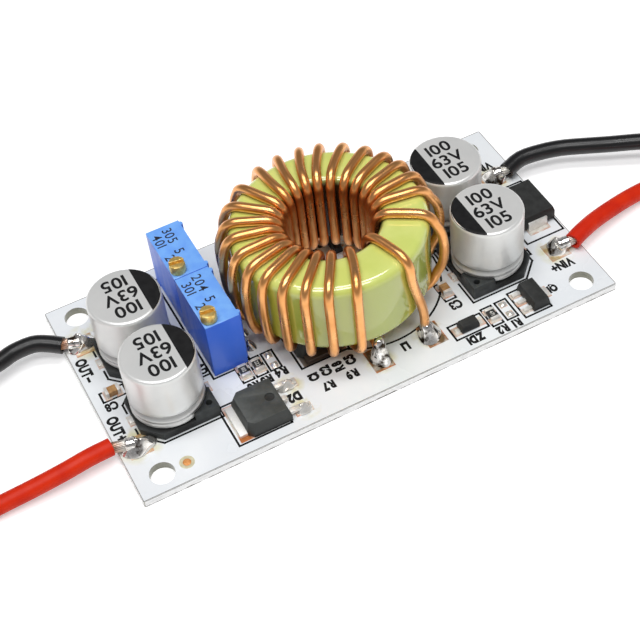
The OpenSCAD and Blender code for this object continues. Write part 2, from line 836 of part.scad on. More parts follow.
module sense_resistor_body() {
    color("dimgray")
        at(sense_at, 90)
            chip_block([sense_size[1], sense_size[0], sense_size[2]]);
}

module sense_resistor_ends() {
    color("gainsboro")
        at(sense_at, 90)
            chip_ends([sense_size[1], sense_size[0], sense_size[2]], 0.7);
}

// Solder
coil_joint_h = wire_low_z - stub_bend_r - seat_z - 0.05;
coil_joint_r = 1.45;
pin_joint_r = 0.7;
pin_joint_h = 0.75;
empty_joint_h = 0.3;

module coil_joint(place, foot) {
    difference() {
        at((place + foot) / 2)
            dome(coil_joint_r, coil_joint_h);
        at(foot, 0, 0)
            cylinder(h = seat_z + coil_joint_h + 1, d = wire_d);
    }
}

module wire_joint(place, route) {
    difference() {
        at(place)
            dome(solder_r, solder_h);
        strand(place, route);
    }
}

module solder_joints() {
    color("silver") {
        wire_joint(output_plus_at, output_plus_route);
        wire_joint(output_minus_at, output_minus_route);
        wire_joint(input_plus_at, input_plus_route);
        wire_joint(input_minus_at, input_minus_route);
        coil_joint(coil_start_at, coil_start_at);
        coil_joint(coil_end_at, coil_end_foot);
        for (y = [near_trim_y, far_trim_y], k = [-1:1])
            at([pin_foot_x + 0.15, y + k * pin_pitch])
                difference() {
                    dome(pin_joint_r, pin_joint_h);
                    translate([-2, -pin_w / 2, -1])
                        cube([2.45, pin_w, pin_t + 1]);
                }
        for (p = empty_pairs, s = [-1, 1])
            at([p[0], p[1] + s * empty_land_pitch / 2])
                dome(empty_land_side / 2, empty_joint_h);
    }
}

// Leads
module strand(place, route) {
    rod([place[0], place[1], strand_z], route[0], strand_d);
}

module lead_strands() {
    color("peru") {
        strand(output_plus_at, output_plus_route);
        strand(output_minus_at, output_minus_route);
        strand(input_plus_at, input_plus_route);
        strand(input_minus_at, input_minus_route);
    }
}

module insulated_lead(route) {
    swept_bar(route, [for (p = route) [0, 0, 1]], lead_d);
}

module output_plus_lead() {
    color("crimson")
        insulated_lead(output_plus_route);
}

module output_minus_lead() {
    color("black")
        insulated_lead(output_minus_route);
}

module input_plus_lead() {
    color("crimson")
        insulated_lead(input_plus_route);
}

module input_minus_lead() {
    color("black")
        insulated_lead(input_minus_route);
}

// The unseen length of the two leads of one end, wound into two flat coils, one on the other
coil_outer_r = lead_coil_r + lead_d / 2;

module lead_coil(place, layer) {
    translate([place[0], place[1], tie_t + layer * lead_d])
        rotate_extrude()
            translate([coil_outer_r - lead_coil_w, 0])
                round_rectangle([lead_coil_w, lead_d], lead_d / 2 - 0.01);
}

module output_plus_coil() {
    color("crimson")
        lead_coil(output_coil_at, 0);
}

module output_minus_coil() {
    color("black")
        lead_coil(output_coil_at, 1);
}

module input_plus_coil() {
    color("crimson")
        lead_coil(input_coil_at, 0);
}

module input_minus_coil() {
    color("black")
        lead_coil(input_coil_at, 1);
}

module coil_ties() {
    stack_h = 2 * lead_d;
    inner = [lead_coil_w + 4 * tie_gap, stack_h + tie_gap];
    color("white")
        for (tie = [[output_coil_at, 180], [input_coil_at, 0]])
            at(tie[0], tie[1], 0)
                translate([coil_outer_r - lead_coil_w / 2, tie_w / 2, 0])
                    rotate([90, 0, 0])
                        linear_extrude(tie_w)
                            difference() {
                                translate([-inner[0] / 2 - tie_t, 0])
                                    square([inner[0] + 2 * tie_t, inner[1] + 2 * tie_t]);
                                translate([-inner[0] / 2, tie_t])
                                    square(inner);
                            }
}

board();
copper_lands();
toroid_core();
toroid_winding();
capacitor_base(capacitor_places[0]);  // output_cap_base_far
capacitor_base(capacitor_places[1]);  // output_cap_base_near
capacitor_base(capacitor_places[2]);  // input_cap_base_near
capacitor_base(capacitor_places[3]);  // input_cap_base_far
capacitor_can(capacitor_places[0]);  // output_cap_can_far
capacitor_can(capacitor_places[1]);  // output_cap_can_near
capacitor_can(capacitor_places[2]);  // input_cap_can_near
capacitor_can(capacitor_places[3]);  // input_cap_can_far
capacitor_terminals();
trimmer_housing(near_trim_y);  // trimmer_housing_near
trimmer_housing(far_trim_y);  // trimmer_housing_far
trimmer_screw(near_trim_y);  // trimmer_screw_near
trimmer_screw(far_trim_y);  // trimmer_screw_far
trimmer_pins();
output_diode_body();
output_diode_frame();
switch_body();
switch_frame();
input_diode_body();
input_diode_straps();
regulator_body();
regulator_leads();
zener_body();
zener_leads();
controller_body();
controller_leads();
amplifier_body();
amplifier_leads();
driver_body();
driver_leads();
sense_resistor_body();
sense_resistor_ends();
resistor_bodies();
resistor_ends();
ceramic_bodies();
ceramic_ends();
solder_joints();
lead_strands();
output_plus_lead();
output_minus_lead();
input_plus_lead();
input_minus_lead();
output_plus_coil();
output_minus_coil();
input_plus_coil();
input_minus_coil();
coil_ties();
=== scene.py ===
# %% [markdown]
# # A step-up converter module, dressed for the camera
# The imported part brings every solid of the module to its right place, in metres. This lesson
# gives those solids their looks. A solid whose shape is right keeps its place and gets a finish,
# and a solid that was only a simple stand-in is replaced by a finer surface. All new shapes are
# worked out in millimetres, because the drawing was, and are scaled when the mesh is made.

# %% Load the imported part
from math import cos, radians, sin

import bmesh
import bpy
import numpy as np
from mathutils import Matrix, Quaternion, Vector


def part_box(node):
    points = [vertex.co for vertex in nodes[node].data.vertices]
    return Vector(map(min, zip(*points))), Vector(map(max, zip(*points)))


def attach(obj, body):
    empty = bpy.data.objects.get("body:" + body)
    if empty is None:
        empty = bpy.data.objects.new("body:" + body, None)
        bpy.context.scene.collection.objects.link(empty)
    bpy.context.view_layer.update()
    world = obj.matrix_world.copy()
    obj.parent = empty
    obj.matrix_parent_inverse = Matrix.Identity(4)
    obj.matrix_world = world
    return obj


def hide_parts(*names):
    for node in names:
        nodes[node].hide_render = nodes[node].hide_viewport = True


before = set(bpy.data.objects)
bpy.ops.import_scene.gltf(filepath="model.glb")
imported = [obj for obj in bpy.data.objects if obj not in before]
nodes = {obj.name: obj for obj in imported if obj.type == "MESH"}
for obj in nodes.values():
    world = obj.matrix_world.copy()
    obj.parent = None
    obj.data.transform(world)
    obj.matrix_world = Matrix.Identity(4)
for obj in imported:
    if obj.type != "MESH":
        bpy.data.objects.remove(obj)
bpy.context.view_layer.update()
mm = 0.001

# %% [markdown]
# ## The camera
# The camera stands where the picture was taken from. Its heading, tilt and roll, and its long
# lens, were found from the four corners and the four holes of the board. The small shift keeps
# the module where it is in the frame without turning the camera away.

# %% Place the camera
def shown(name, data):
    """A new object with the given data, placed in the scene."""
    item = bpy.data.objects.new(name, data)
    bpy.context.scene.collection.objects.link(item)
    return item


picture_width, sensor_width, focal_pixels = 640, 36, 1514.98
heading, tilt, roll = radians(22.34), radians(48.235), radians(-6.736)
look = Vector((sin(heading) * cos(tilt), cos(heading) * cos(tilt), -sin(tilt)))
camera = shown("front_camera", bpy.data.cameras.new("front_camera"))
camera.rotation_mode = "QUATERNION"
camera.rotation_quaternion = look.to_track_quat("-Z", "Y") @ Quaternion((0, 0, 1), roll)
camera.location = Vector((-52.03, -128.01, 156.46)) * mm
camera.data.sensor_width = sensor_width
camera.data.lens = focal_pixels * sensor_width / picture_width
camera.data.shift_x, camera.data.shift_y = -10.8 / picture_width, -24.12 / picture_width
camera.data.clip_start = 0.01
bpy.context.scene.camera = camera
print("lens:", round(camera.data.lens, 2), "mm")

# %% [markdown]
# ## Surfaces from grids
# Nearly every new piece is a grid of points: rows along the piece and columns around it. A grid
# could be modelled by hand, but a formula gives the same shape at any fineness. The helper below
# turns one grid, or a stack of equal grids, into a mesh, closes its seams by merging points that
# meet, and turns its faces outwards.

# %% Turn grids into meshes
def cells(rows, columns, closed):
    """Corner numbers of every cell of a grid. A closed grid joins its last column to its first."""
    number = np.arange(rows * columns).reshape(rows, columns)
    number = np.hstack([number, number[:, :1]]) if closed else number
    corners = [number[:-1, :-1], number[:-1, 1:], number[1:, 1:], number[1:, :-1]]
    return np.stack(corners, -1).reshape(-1, 4)


def piece(name, points, faces, sharp=35, marks=None, outward=True):
    """A mesh object from points in millimetres. Marks are named values, one for each point."""
    mesh = bpy.data.meshes.new(name)
    mesh.from_pydata(np.asarray(points) * mm, [], faces)
    for mark, values in (marks or {}).items():
        layer = mesh.attributes.new(mark, "FLOAT", "POINT")
        layer.data.foreach_set("value", np.ravel(values).astype(np.float32))
    shape = bmesh.new()
    shape.from_mesh(mesh)
    bmesh.ops.remove_doubles(shape, verts=shape.verts, dist=1e-7)
    if outward:
        bmesh.ops.recalc_face_normals(shape, faces=shape.faces)
    shape.to_mesh(mesh)
    shape.free()
    mesh.polygons.foreach_set("use_smooth", np.ones(len(mesh.polygons), bool))
    mesh.set_sharp_from_angle(angle=radians(sharp))
    return shown(name, mesh)


print("cells of a closed grid of 2 by 4 points:", len(cells(2, 4, True)))

# %% Fit pieces to the part
def surface(name, grid, closed=True, **options):
    """A piece from one grid of rows and columns, or from a stack of such grids."""
    grid = np.asarray(grid, float)
    rows, columns = grid.shape[-3:-1]
    count = grid.size // (3 * rows * columns)
    first = np.arange(count)[:, None, None] * rows * columns
    faces = (first + cells(rows, columns, closed)).reshape(-1, 4)
    return piece(name, grid.reshape(-1, 3), faces, **options)


def fit(item, material, slot, *replaced, body="module"):
    """Gives a piece its finish and its body, and hides the solids it stands for. The slot is not used."""
    item.data.materials.clear()
    item.data.materials.append(material)
    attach(item, body)
    if replaced:
        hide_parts(*replaced)
    return item


print("bodies to ride on: module, near_screw, far_screw")

# %% [markdown]
# ## Paths and sweeps
# Wires and leads are a round profile carried along a path. The path is a smooth curve through
# a few points, and at each of its points the profile stands square to the curve. A fixed hint
# direction keeps the profile from twisting on the way.

# %% Draw paths
def unit(v):
    """Vectors of length one, in the directions of v."""
    return v / np.linalg.norm(v, axis=-1, keepdims=True)


def smooth_path(points, steps):
    """A curve that leaves each point along the line that joins the points before and after it."""
    p = np.asarray(points, float)
    p = np.vstack([2 * p[0] - p[1], p, 2 * p[-1] - p[-2]])
    t = (np.arange(steps) / steps)[None, :, None]
    a, b, c, d = (p[k:len(p) - 3 + k, None] for k in range(4))
    bend = (2 * a - 5 * b + 4 * c - d) * t**2 + (3 * b - a - 3 * c + d) * t**3
    return np.vstack([(b + 0.5 * ((c - a) * t + bend)).reshape(-1, 3), p[-2]])


def travelled(path):
    """The distance gone along a path at each of its points."""
    return np.concatenate([[0], np.cumsum(np.linalg.norm(np.diff(path, axis=0), axis=-1))])


def path_length(path):
    """The sum of the distances from each point of a path to the next."""
    return travelled(path)[-1]


print("length of a path of 3 by 4:", path_length(np.array([(0, 0, 0), (3, 4, 0)])))

# %% Set directions and angles
def frames(path, hint):
    """Three square directions at each point: along the path, the hint made square to it, the third."""
    ahead = unit(np.gradient(path, axis=0))
    side = unit(hint - (hint * ahead).sum(-1, keepdims=True) * ahead)
    return ahead, side, np.cross(ahead, side)


def full_turn(sides):
    """Even angles round a full turn."""
    return np.arange(sides) * 2 * np.pi / sides


def polar(angle, radius=1):
    """Flat points: the radius times the cosine and the sine of the angle."""
    return np.stack([radius * np.cos(angle), radius * np.sin(angle)], -1)


print("points of a small ring:", polar(full_turn(4)).round(2).tolist())

# %% Sweep and turn profiles
def tube(path, hint, radius, sides, start=((0, 0),), end=((0, 0),)):
    """A round bar along a path. Start and end list rings of the end faces: size, and depth in the bar."""
    ahead, side, up = frames(path, hint)
    ring = polar(full_turn(sides))
    radius = np.broadcast_to(radius, len(path))[:, None, None]
    wall = path[:, None] + radius * (ring[:, :1] * side[:, None] + ring[:, 1:] * up[:, None])
    first = [path[0] + s * (wall[0] - path[0]) + d * ahead[0] for s, d in start]
    last = [path[-1] + s * (wall[-1] - path[-1]) - d * ahead[-1] for s, d in reversed(end)]
    return np.concatenate([np.array(first), wall, np.array(last)])


def revolved(profile, centre, sides):
    """Points of a profile of radius and height turned round an upright axis at the given centre."""
    flat = profile[:, None, :1] * polar(full_turn(sides)) + centre
    upright = np.broadcast_to(profile[:, None, 1:], (len(profile), sides, 1))
    return np.concatenate([flat, upright], -1)


print("rows and columns of a turned line:", revolved(np.array([(1, 0), (1, 2)]), (0, 0), 8).shape[:2])

# %% [markdown]
# ## Finishes that repeat
# Real surfaces are never one colour. Two effects come back in almost every finish here: soft
# patches, in which the colour and the gloss drift a little, and a fine grain that breaks up the
# reflections. Each is a node group, built once, and every material uses it with its own values.
# A few short helpers add the nodes that come back most, and hand on the socket they put out.

# %% Add nodes
def paint(colour):
    """A colour socket as it is, or the linear colour of screen parts from 0 to 255."""
    if isinstance(colour, bpy.types.NodeSocket):
        return colour
    c = np.array(colour) / 255
    c = np.where(c <= 0.04045, c / 12.92, ((c + 0.055) / 1.055) ** 2.4)
    return (*c.tolist(), 1)


def add(tree, kind, settings=None, **inputs):
    """A new node. A value goes on the socket of that name or number, and a socket is linked to it."""
    node = tree.nodes.new("ShaderNode" + kind)
    for key, value in (settings or {}).items():
        setattr(node, key, value)
    for key, value in inputs.items():
        numbered = key[0] == "i" and key[1:].isdigit()
        place = node.inputs[int(key[1:]) if numbered else key.replace("_", " ")]
        if isinstance(value, bpy.types.NodeSocket):
            tree.links.new(value, place)
        else:
            place.default_value = value
    return node


print("linear value of a middle grey:", round(paint((128, 128, 128))[0], 3))

# %% Name the common nodes
def mixed(tree, share, first, second, blend="MIX"):
    """Two colours mixed by a share from zero to one."""
    settings = {"data_type": "RGBA", "blend_type": blend}
    return add(tree, "Mix", settings, i0=share, i6=paint(first), i7=paint(second)).outputs[2]


def ranged(tree, value, start, end, low=0.0, high=1.0):
    """A value carried from one range into another, and held inside it."""
    return add(tree, "MapRange", Value=value, i1=start, i2=end, i3=low, i4=high).outputs[0]


def calc(tree, operation, *values, clamp=False):
    """The result of an operation on sockets and numbers."""
    inputs = {f"i{k}": value for k, value in enumerate(values)}
    return add(tree, "Math", {"operation": operation, "use_clamp": clamp}, **inputs).outputs[0]


def here(tree):
    """The place of a point on its piece."""
    return add(tree, "TexCoord").outputs["Object"]


def clouds(tree, scale, detail, place=None):
    """Noise from zero to one at a place, which is the point's own unless another is given."""
    place = here(tree) if place is None else place
    return add(tree, "TexNoise", Vector=place, Scale=scale, Detail=detail).outputs["Fac"]


print("helpers:", [helper.__name__ for helper in (mixed, ranged, calc, here, clouds)])

# %% Build the shared node groups
def new_group(name, inputs, outputs):
    """An empty node group with the named sockets, and its inner input and output nodes."""
    group = bpy.data.node_groups.new(name, "ShaderNodeTree")
    for direction, sockets in (("INPUT", inputs), ("OUTPUT", outputs)):
        for socket, kind in sockets.items():
            group.interface.new_socket(socket, in_out=direction, socket_type="NodeSocket" + kind)
    return group, group.nodes.new("NodeGroupInput").outputs, group.nodes.new("NodeGroupOutput").inputs


def stretched_clouds(group, given, detail):
    """Noise at the scale that a group is given, on coordinates multiplied by its stretch."""
    spread = add(group, "VectorMath", {"operation": "MULTIPLY"}, i0=here(group), i1=given["Stretch"])
    return clouds(group, given["Scale"], detail, spread.outputs[0])


space = {"Scale": "Float", "Stretch": "Vector"}
patches, given, result = new_group(
    "soft_patches", {"Pale": "Color", "Deep": "Color", **space, "Dull": "Float", "Shiny": "Float"},
    {"Colour": "Color", "Roughness": "Float"})
share = ranged(patches, stretched_clouds(patches, given, 4.0), 0.36, 0.64)
patches.links.new(mixed(patches, share, given["Pale"], given["Deep"]), result["Colour"])
patches.links.new(ranged(patches, share, 0.0, 1.0, given["Shiny"], given["Dull"]), result["Roughness"])

grain, given, result = new_group("fine_grain", {**space, "Height": "Float"}, {"Normal": "Vector"})
specks = stretched_clouds(grain, given, 3.0)
relief = add(grain, "Bump", Strength=1.0, Distance=given["Height"], Height=specks)
grain.links.new(relief.outputs["Normal"], result["Normal"])
print("groups:", [group.name for group in bpy.data.node_groups])

# %% [markdown]
# ## One recipe for a finish
# A finish is a Principled shader with two colours from the patches, two roughness values and a
# grain. The metal share, the coat and other values that are the same all over stay on the shader's
# own sockets. Sizes are given as they would be measured: patches and grain in millimetres, and
# the height of the grain in micrometres. Stains, painted shade and wear come later: each one mixes
# another colour into the finish, by a mask, by a mark on the mesh, or on the walls of a piece.

# %% Write the recipe
def finish(name, pale, deep, patch, gloss, grain_size, grain_height, stretch=(1, 1, 1), **plain):
    """Colour and roughness drift between two values in soft patches, over a fine grain."""
    material = bpy.data.materials.new(name)
    material.use_nodes = True
    tree = material.node_tree
    shader = tree.nodes["Principled BSDF"]
    for socket, value in plain.items():
        shader.inputs[socket.replace("_", " ")].default_value = value
    drift = add(tree, "Group", {"node_tree": patches}, Pale=paint(pale), Deep=paint(deep),
                Scale=1000 / patch, Stretch=stretch, Shiny=gloss[0], Dull=gloss[1]).outputs
    rough = add(tree, "Group", {"node_tree": grain}, Scale=1000 / grain_size, Stretch=stretch,
                Height=grain_height * 1e-6).outputs
    tree.links.new(drift["Colour"], shader.inputs["Base Color"])
    tree.links.new(drift["Roughness"], shader.inputs["Roughness"])
    tree.links.new(rough["Normal"], shader.inputs["Normal"])
    return material


red_sheath = finish("red_sheath", (220, 48, 10), (206, 36, 6), 3, (0.4, 0.5), 0.35, 5,
                    Specular_IOR_Level=0.2)
black_sheath = finish("black_sheath", (26, 26, 27), (16, 16, 17), 3, (0.26, 0.36), 0.35, 5,
                      Specular_IOR_Level=0.45)
print("sheath finishes:", red_sheath.name, black_sheath.name)

# %% Mix in other colours
def recolour(material, share, other):
    """Mixes another colour into the colour of a finish, by a share from zero to one."""
    tree = material.node_tree
    colour = tree.nodes["Principled BSDF"].inputs["Base Color"]
    tree.links.new(mixed(tree, share, colour.links[0].from_socket, other), colour)


def marked(tree, mark):
    """The share that a mark on the mesh gives."""
    return add(tree, "Attribute", {"attribute_name": mark}).outputs["Fac"]


def upward(tree):
    """How far a face looks up: one on a top, zero on a wall, minus one on an underside."""
    return add(tree, "SeparateXYZ", Vector=add(tree, "NewGeometry").outputs["Normal"]).outputs["Z"]


def recolour_by_mark(material, mark, other):
    """Mixes in another colour where a mark on the mesh says so."""
    recolour(material, marked(material.node_tree, mark), other)


def paint_wall_shade(material, other, most=1.0):
    """Paints shade: mixes a darker colour into the faces that stand upright."""
    tree = material.node_tree
    recolour(material, ranged(tree, upward(tree), 0.8, 0.2, 0.0, most), other)


print("colours mix in by share, by mark and on walls")

# %% [markdown]
# ## The four leads
# Each lead is about 150 mm of limp wire, soldered to the board at one end and stripped at the
# other. Only the first stretch is in the picture, so the rest lies beside the module as a flat
# coil, which is how such leads are tied for the shelf. The path follows the lead's own points and
# then a spiral, whose radius shrinks by a little more than the wire's thickness on each turn. A
# coil is given by its centre, the angle at which it starts and the way it turns.

# %% Give the routes
lead_d, strand_d, tip_length, lead_length = 2.4, 1.5, 5.0, 145.0
coil_r, coil_pitch = 13.8, 2.5
up_hint = np.array([0.0, 0.0, 1.0])
cut_end = ((0, 0.35), (0.62, 0.35), (0.66, 0.02), (0.93, 0))
sheaths = {"plus": (red_sheath, "lead_red"), "minus": (black_sheath, "lead_black")}
leads = {
    "output_plus": dict(coil=((-67, 1, 1.5), 290, -1), route=[
        (-35.5, -9, 2.5), (-38.5, -9.2, 2.6), (-42.1, -9.5, 2.4), (-46.6, -9.5, 1.9), (-50.9, -9.5, 1.6),
        (-54.7, -9.8, 1.5), (-58.5, -10.7, 1.5)]),
    "output_minus": dict(coil=((-67, 1, 3.9), 70, 1), route=[
        (-34.9, 10, 2.6), (-36.6, 11.2, 2.8), (-38.5, 12, 3), (-41.3, 11.9, 3.1), (-43.4, 11.2, 3.2),
        (-47.2, 10.3, 3.4), (-51.2, 10.2, 3.6), (-55, 11, 3.8), (-58.7, 12.4, 3.9)]),
    "input_plus": dict(coil=((74, 0, 1.5), 240, 1), route=[
        (33.5, -9.5, 2.7), (35.2, -8.8, 2.8), (37.6, -7.92, 2.7), (39.5, -7.32, 2.5), (41.4, -6.8, 2.3),
        (44.4, -6.1, 2), (47.5, -5.6, 1.7), (51.5, -5.4, 1.5), (55.5, -6.2, 1.5), (59.4, -7.9, 1.5),
        (63.3, -9.8, 1.5)]),
    "input_minus": dict(coil=((74, 0, 3.9), 214, 1), route=[
        (33.1, 7.1, 2.8), (35.9, 7.9, 3.1), (39.1, 7.5, 3.2), (42, 6.7, 3.2), (44.6, 5.4, 3.3),
        (48.4, 3.4, 3.4), (52.2, 1.4, 3.6), (55.8, -0.9, 3.8), (59.2, -3.8, 3.9)]),
}
print("leads:", list(leads))

# %% Lay the leads
def spiral(centre, start, turning, run):
    """Points of a flat spiral at given lengths along it. The radius falls by one pitch in each turn."""
    turn = (coil_r - np.sqrt(coil_r**2 - coil_pitch * run / np.pi)) * 2 * np.pi / coil_pitch
    radius = coil_r - coil_pitch * turn / (2 * np.pi)
    angle = radians(start) + turning * turn
    return np.array(centre) + np.column_stack([polar(angle, radius), 0 * turn])


for name, lead in leads.items():
    route = np.array(lead["route"], float)
    entry = spiral(*lead["coil"], np.zeros(1))
    rest = lead_length - path_length(smooth_path(np.vstack([route, entry]), 3))
    coil = spiral(*lead["coil"], np.linspace(0, rest, 34))
    lead["path"] = smooth_path(np.vstack([route, coil]), 3)
    lead["tip"] = spiral(*lead["coil"], rest + np.linspace(-1, tip_length, 14))
    sheath = tube(lead["path"], up_hint, lead_d / 2, 24, cut_end, cut_end)
    lead["piece"] = surface(name + "_wire", sheath, sharp=50)
    fit(lead["piece"], *sheaths[name.split("_")[1]], name + "_lead", name + "_coil")
    print(name, "lead:", round(path_length(lead["path"]), 1), "mm of sheath")

# %% [markdown]
# ## Stripped ends
# Where the sheath is cut back, a bundle of fine copper strands comes out with a slight twist. A
# single rod would look like a nail. Fourteen strands are laid round the middle of the path on
# helices, over a plain core that fills the bundle. The solder has wicked part of the way along
# them, so each point carries a mark that says how tinned it is.

# %% Twist the strands
strand_copper = finish("strand_copper", (200, 152, 120), (146, 100, 74), 0.5, (0.3, 0.42), 0.1, 3,
                       Metallic=1.0)
recolour_by_mark(strand_copper, "tinned", (222, 219, 212))


def strand_bundle(path, width, count=14, twist=7.0):
    """Strands on helices round a path: strand k sits at an angle that grows with the distance gone."""
    fine = 0.5 * width * np.pi / (count + np.pi)
    ahead, side, up = frames(path, up_hint)
    angle = 2 * np.pi * (np.arange(count)[:, None] / count + travelled(path) / twist)
    ring = (width / 2 - fine) * (np.cos(angle)[..., None] * side + np.sin(angle)[..., None] * up)
    outer = [tube(path + offset, up_hint, fine, 8) for offset in ring]
    return np.array(outer + [tube(path, up_hint, width / 2 - 1.5 * fine, 8)])


strand_foot_z, hidden_length, tip_tin = 2.05, 0.7, 0.85
pads = [(-32.3, -9.75), (-32.25, 9.8), (31.4, -8.6), (31.2, 8.1)]
wicking = [(-0.6, 2.2), (-0.4, 1.8), (0.35, 2.0), (0.9, 2.0)]
ends, tin = [], []
for lead, pad, wicked in zip(leads.values(), pads, wicking):
    inner = lead["path"][0] + hidden_length * unit(lead["path"][1] - lead["path"][0])
    lead["strand_path"] = np.linspace(inner, (*pad, strand_foot_z), 24)
    ends.append(strand_bundle(lead["strand_path"], strand_d))
    tin.append(np.clip(np.linspace(*wicked, ends[0].shape[1]), 0, 1))
grids = np.array(ends)
tin = np.broadcast_to(np.array(tin)[:, None, :, None], grids.shape[:-1])
strands = surface("lead_strand_bundles", grids, marks={"tinned": tin}, sharp=60)
fit(strands, strand_copper, "strand_copper", "lead_strands")
print("strands:", len(strands.data.polygons), "faces")

# %% Strip the far ends
for name, lead in leads.items():
    bundle = strand_bundle(lead["tip"], strand_d, twist=9.0)
    tip = surface(name + "_tip", bundle, marks={"tinned": np.full(bundle.shape[:-1], tip_tin)}, sharp=60)
    fit(tip, strand_copper, "strand_copper")
    print(tip.name, len(tip.data.polygons), "faces")

# %% [markdown]
# ## Softened solids
# The moulded and metal bodies have the right shapes already, but a real edge is never razor
# sharp: it catches a thin line of light. A copy of each solid is merged, its flat faces are made
# whole again, and a Bevel modifier rolls the edges over by a few hundredths of a millimetre. Where
# a shape needs a small change, a function moves the points of the copy first.

# %% Merge solids
def points_of(mesh):
    """The points of a mesh, in millimetres."""
    points = np.empty(len(mesh.vertices) * 3)
    mesh.vertices.foreach_get("co", points)
    return points.reshape(-1, 3) / mm


def merged(node, reshape=None):
    """A copy of a solid's mesh, reshaped where asked, with its triangles joined and flat faces whole."""
    copy = nodes[node].data.copy()
    if reshape:
        copy.vertices.foreach_set("co", np.ravel(reshape(points_of(copy)) * mm))
    shape = bmesh.new()
    shape.from_mesh(copy)
    bpy.data.meshes.remove(copy)
    bmesh.ops.remove_doubles(shape, verts=shape.verts, dist=1e-6)
    bmesh.ops.dissolve_degenerate(shape, dist=1e-6, edges=shape.edges)
    bmesh.ops.dissolve_limit(shape, angle_limit=radians(1), verts=shape.verts, edges=shape.edges)
    mesh = bpy.data.meshes.new(node + "_finished")
    shape.to_mesh(mesh)
    shape.free()
    return mesh


print("solids to choose from:", len(nodes))

# %% Soften edges
sharp_edge = 35


def softened(node, edge, material, slot, body="module", segments=2, reshape=None):
    """A copy of a solid whose edges are rolled over by the given width in millimetres."""
    mesh = merged(node, reshape)
    mesh.polygons.foreach_set("use_smooth", np.ones(len(mesh.polygons), bool))
    item = shown(node + "_finished", mesh)
    roll = item.modifiers.new("rolled_edges", "BEVEL")
    roll.width, roll.segments = edge * mm, segments
    roll.limit_method, roll.angle_limit = "ANGLE", radians(sharp_edge)
    roll.harden_normals = True
    return fit(item, material, slot, node, body=body)


print("edges are rolled over from", sharp_edge, "degrees")

# %% Measure solids
def solid_boxes(node):
    """Box corners and corner count of each solid in a node: touching points share the lowest number."""
    mesh = merged(node)
    edges = np.empty(len(mesh.edges) * 2, int)
    mesh.edges.foreach_get("vertices", edges)
    edges, label, old = edges.reshape(-1, 2), np.arange(len(mesh.vertices)), None
    while old is None or (label != old).any():
        old = label.copy()
        np.minimum.at(label, edges, old[edges].min(1, keepdims=True))
    kinds, member, count = np.unique(label, return_inverse=True, return_counts=True)
    low, high = np.full((len(kinds), 3), np.inf), np.full((len(kinds), 3), -np.inf)
    np.minimum.at(low, member, points_of(mesh))
    np.maximum.at(high, member, points_of(mesh))
    return low, high, count


print("land solids:", len(solid_boxes("copper_lands")[0]))

# %% [markdown]
# ## The board
# The board is an aluminium plate under a thin insulating layer and a white, glossy mask. From the
# side one sees the bare metal, with a ragged dark line at the bottom and a grey line near the top,
# and the underside is brushed metal. The walls of the holes carry painted shade. The top has a thin
# grey line along its edge, and flux from soldering has stained it round the joints. The solid itself
# is right, so only its material tells these places apart: it looks at the direction of the face, at
# the place on it and at the distance to a joint.

# %% Mask the board
board_top, seat_z, board_half = 1.2, 1.3, (35, 18)
board_white = finish("board_white", (242, 245, 247), (236, 240, 243), 9, (0.2, 0.3), 0.8, 3,
                     Coat_Weight=0.25, Coat_Roughness=0.12)
tree = board_white.node_tree
axis = add(tree, "SeparateXYZ", Vector=here(tree)).outputs


def within(inset):
    """One where the distances from the board's middle stay under half its size less the inset, else zero."""
    sides = (calc(tree, "COMPARE", axis[k], 0.0, (board_half[k] - inset) * mm) for k in (0, 1))
    return calc(tree, "MULTIPLY", *sides)


def near_spot(tree, place, reach, full):
    """A mask that is one within the full distance of a place, and falls to zero at the reach."""
    spot = tuple(value * mm for value in place)
    away = add(tree, "VectorMath", {"operation": "DISTANCE"}, i0=here(tree), i1=spot)
    return ranged(tree, away.outputs["Value"], reach * mm, full * mm)


def flux_film(tree, spots, low=0.38, high=0.6):
    """A blotchy mask round joints: each spot is a place on the board and the reach of its flux."""
    film = 0.0
    for x, y, reach in spots:
        film = calc(tree, "MAXIMUM", near_spot(tree, (x, y, board_top), reach, 0.55 * reach), film)
    return calc(tree, "MULTIPLY", film, ranged(tree, clouds(tree, 600.0, 3.0), low, high))


print("board:", [2 * half for half in board_half], "by", board_top, "mm")

# %% Layer its edge
layers = add(tree, "ValToRGB")
layers.color_ramp.interpolation = "CONSTANT"
layers.color_ramp.elements.remove(layers.color_ramp.elements[1])
layers.color_ramp.elements[0].color = paint((104, 104, 94))
for height, colour in ((0.11, (254, 254, 253)), (0.86, (150, 150, 144)), (0.95, (242, 244, 245))):
    layers.color_ramp.elements.new(height).color = paint(colour)
height = ranged(tree, axis["Z"], 0.0, board_top * mm)
loss = ranged(tree, clouds(tree, 700.0, 4.0), 0.3, 0.7, -0.12, 0.14)
ragged = add(tree, "Mix", {"data_type": "FLOAT"}, i0=height, i2=loss, i3=1.0)
tree.links.new(ragged.outputs[0], layers.inputs[0])
# Painted shade: the walls of the holes are a darker grey than the outer edge.
walls = mixed(tree, within(0.02), layers.outputs[0], (146, 146, 130))
drawn_out = add(tree, "Mapping", Vector=here(tree), Scale=(500, 1500, 2500)).outputs[0]
scratches = ranged(tree, clouds(tree, 1.0, 5.0, drawn_out), 0.3, 0.5, 0.6)
worn = mixed(tree, 0.4, walls, scratches, "MULTIPLY")
brushed = mixed(tree, scratches, (120, 122, 124), (208, 210, 212))
print("board layers:", len(layers.color_ramp.elements))

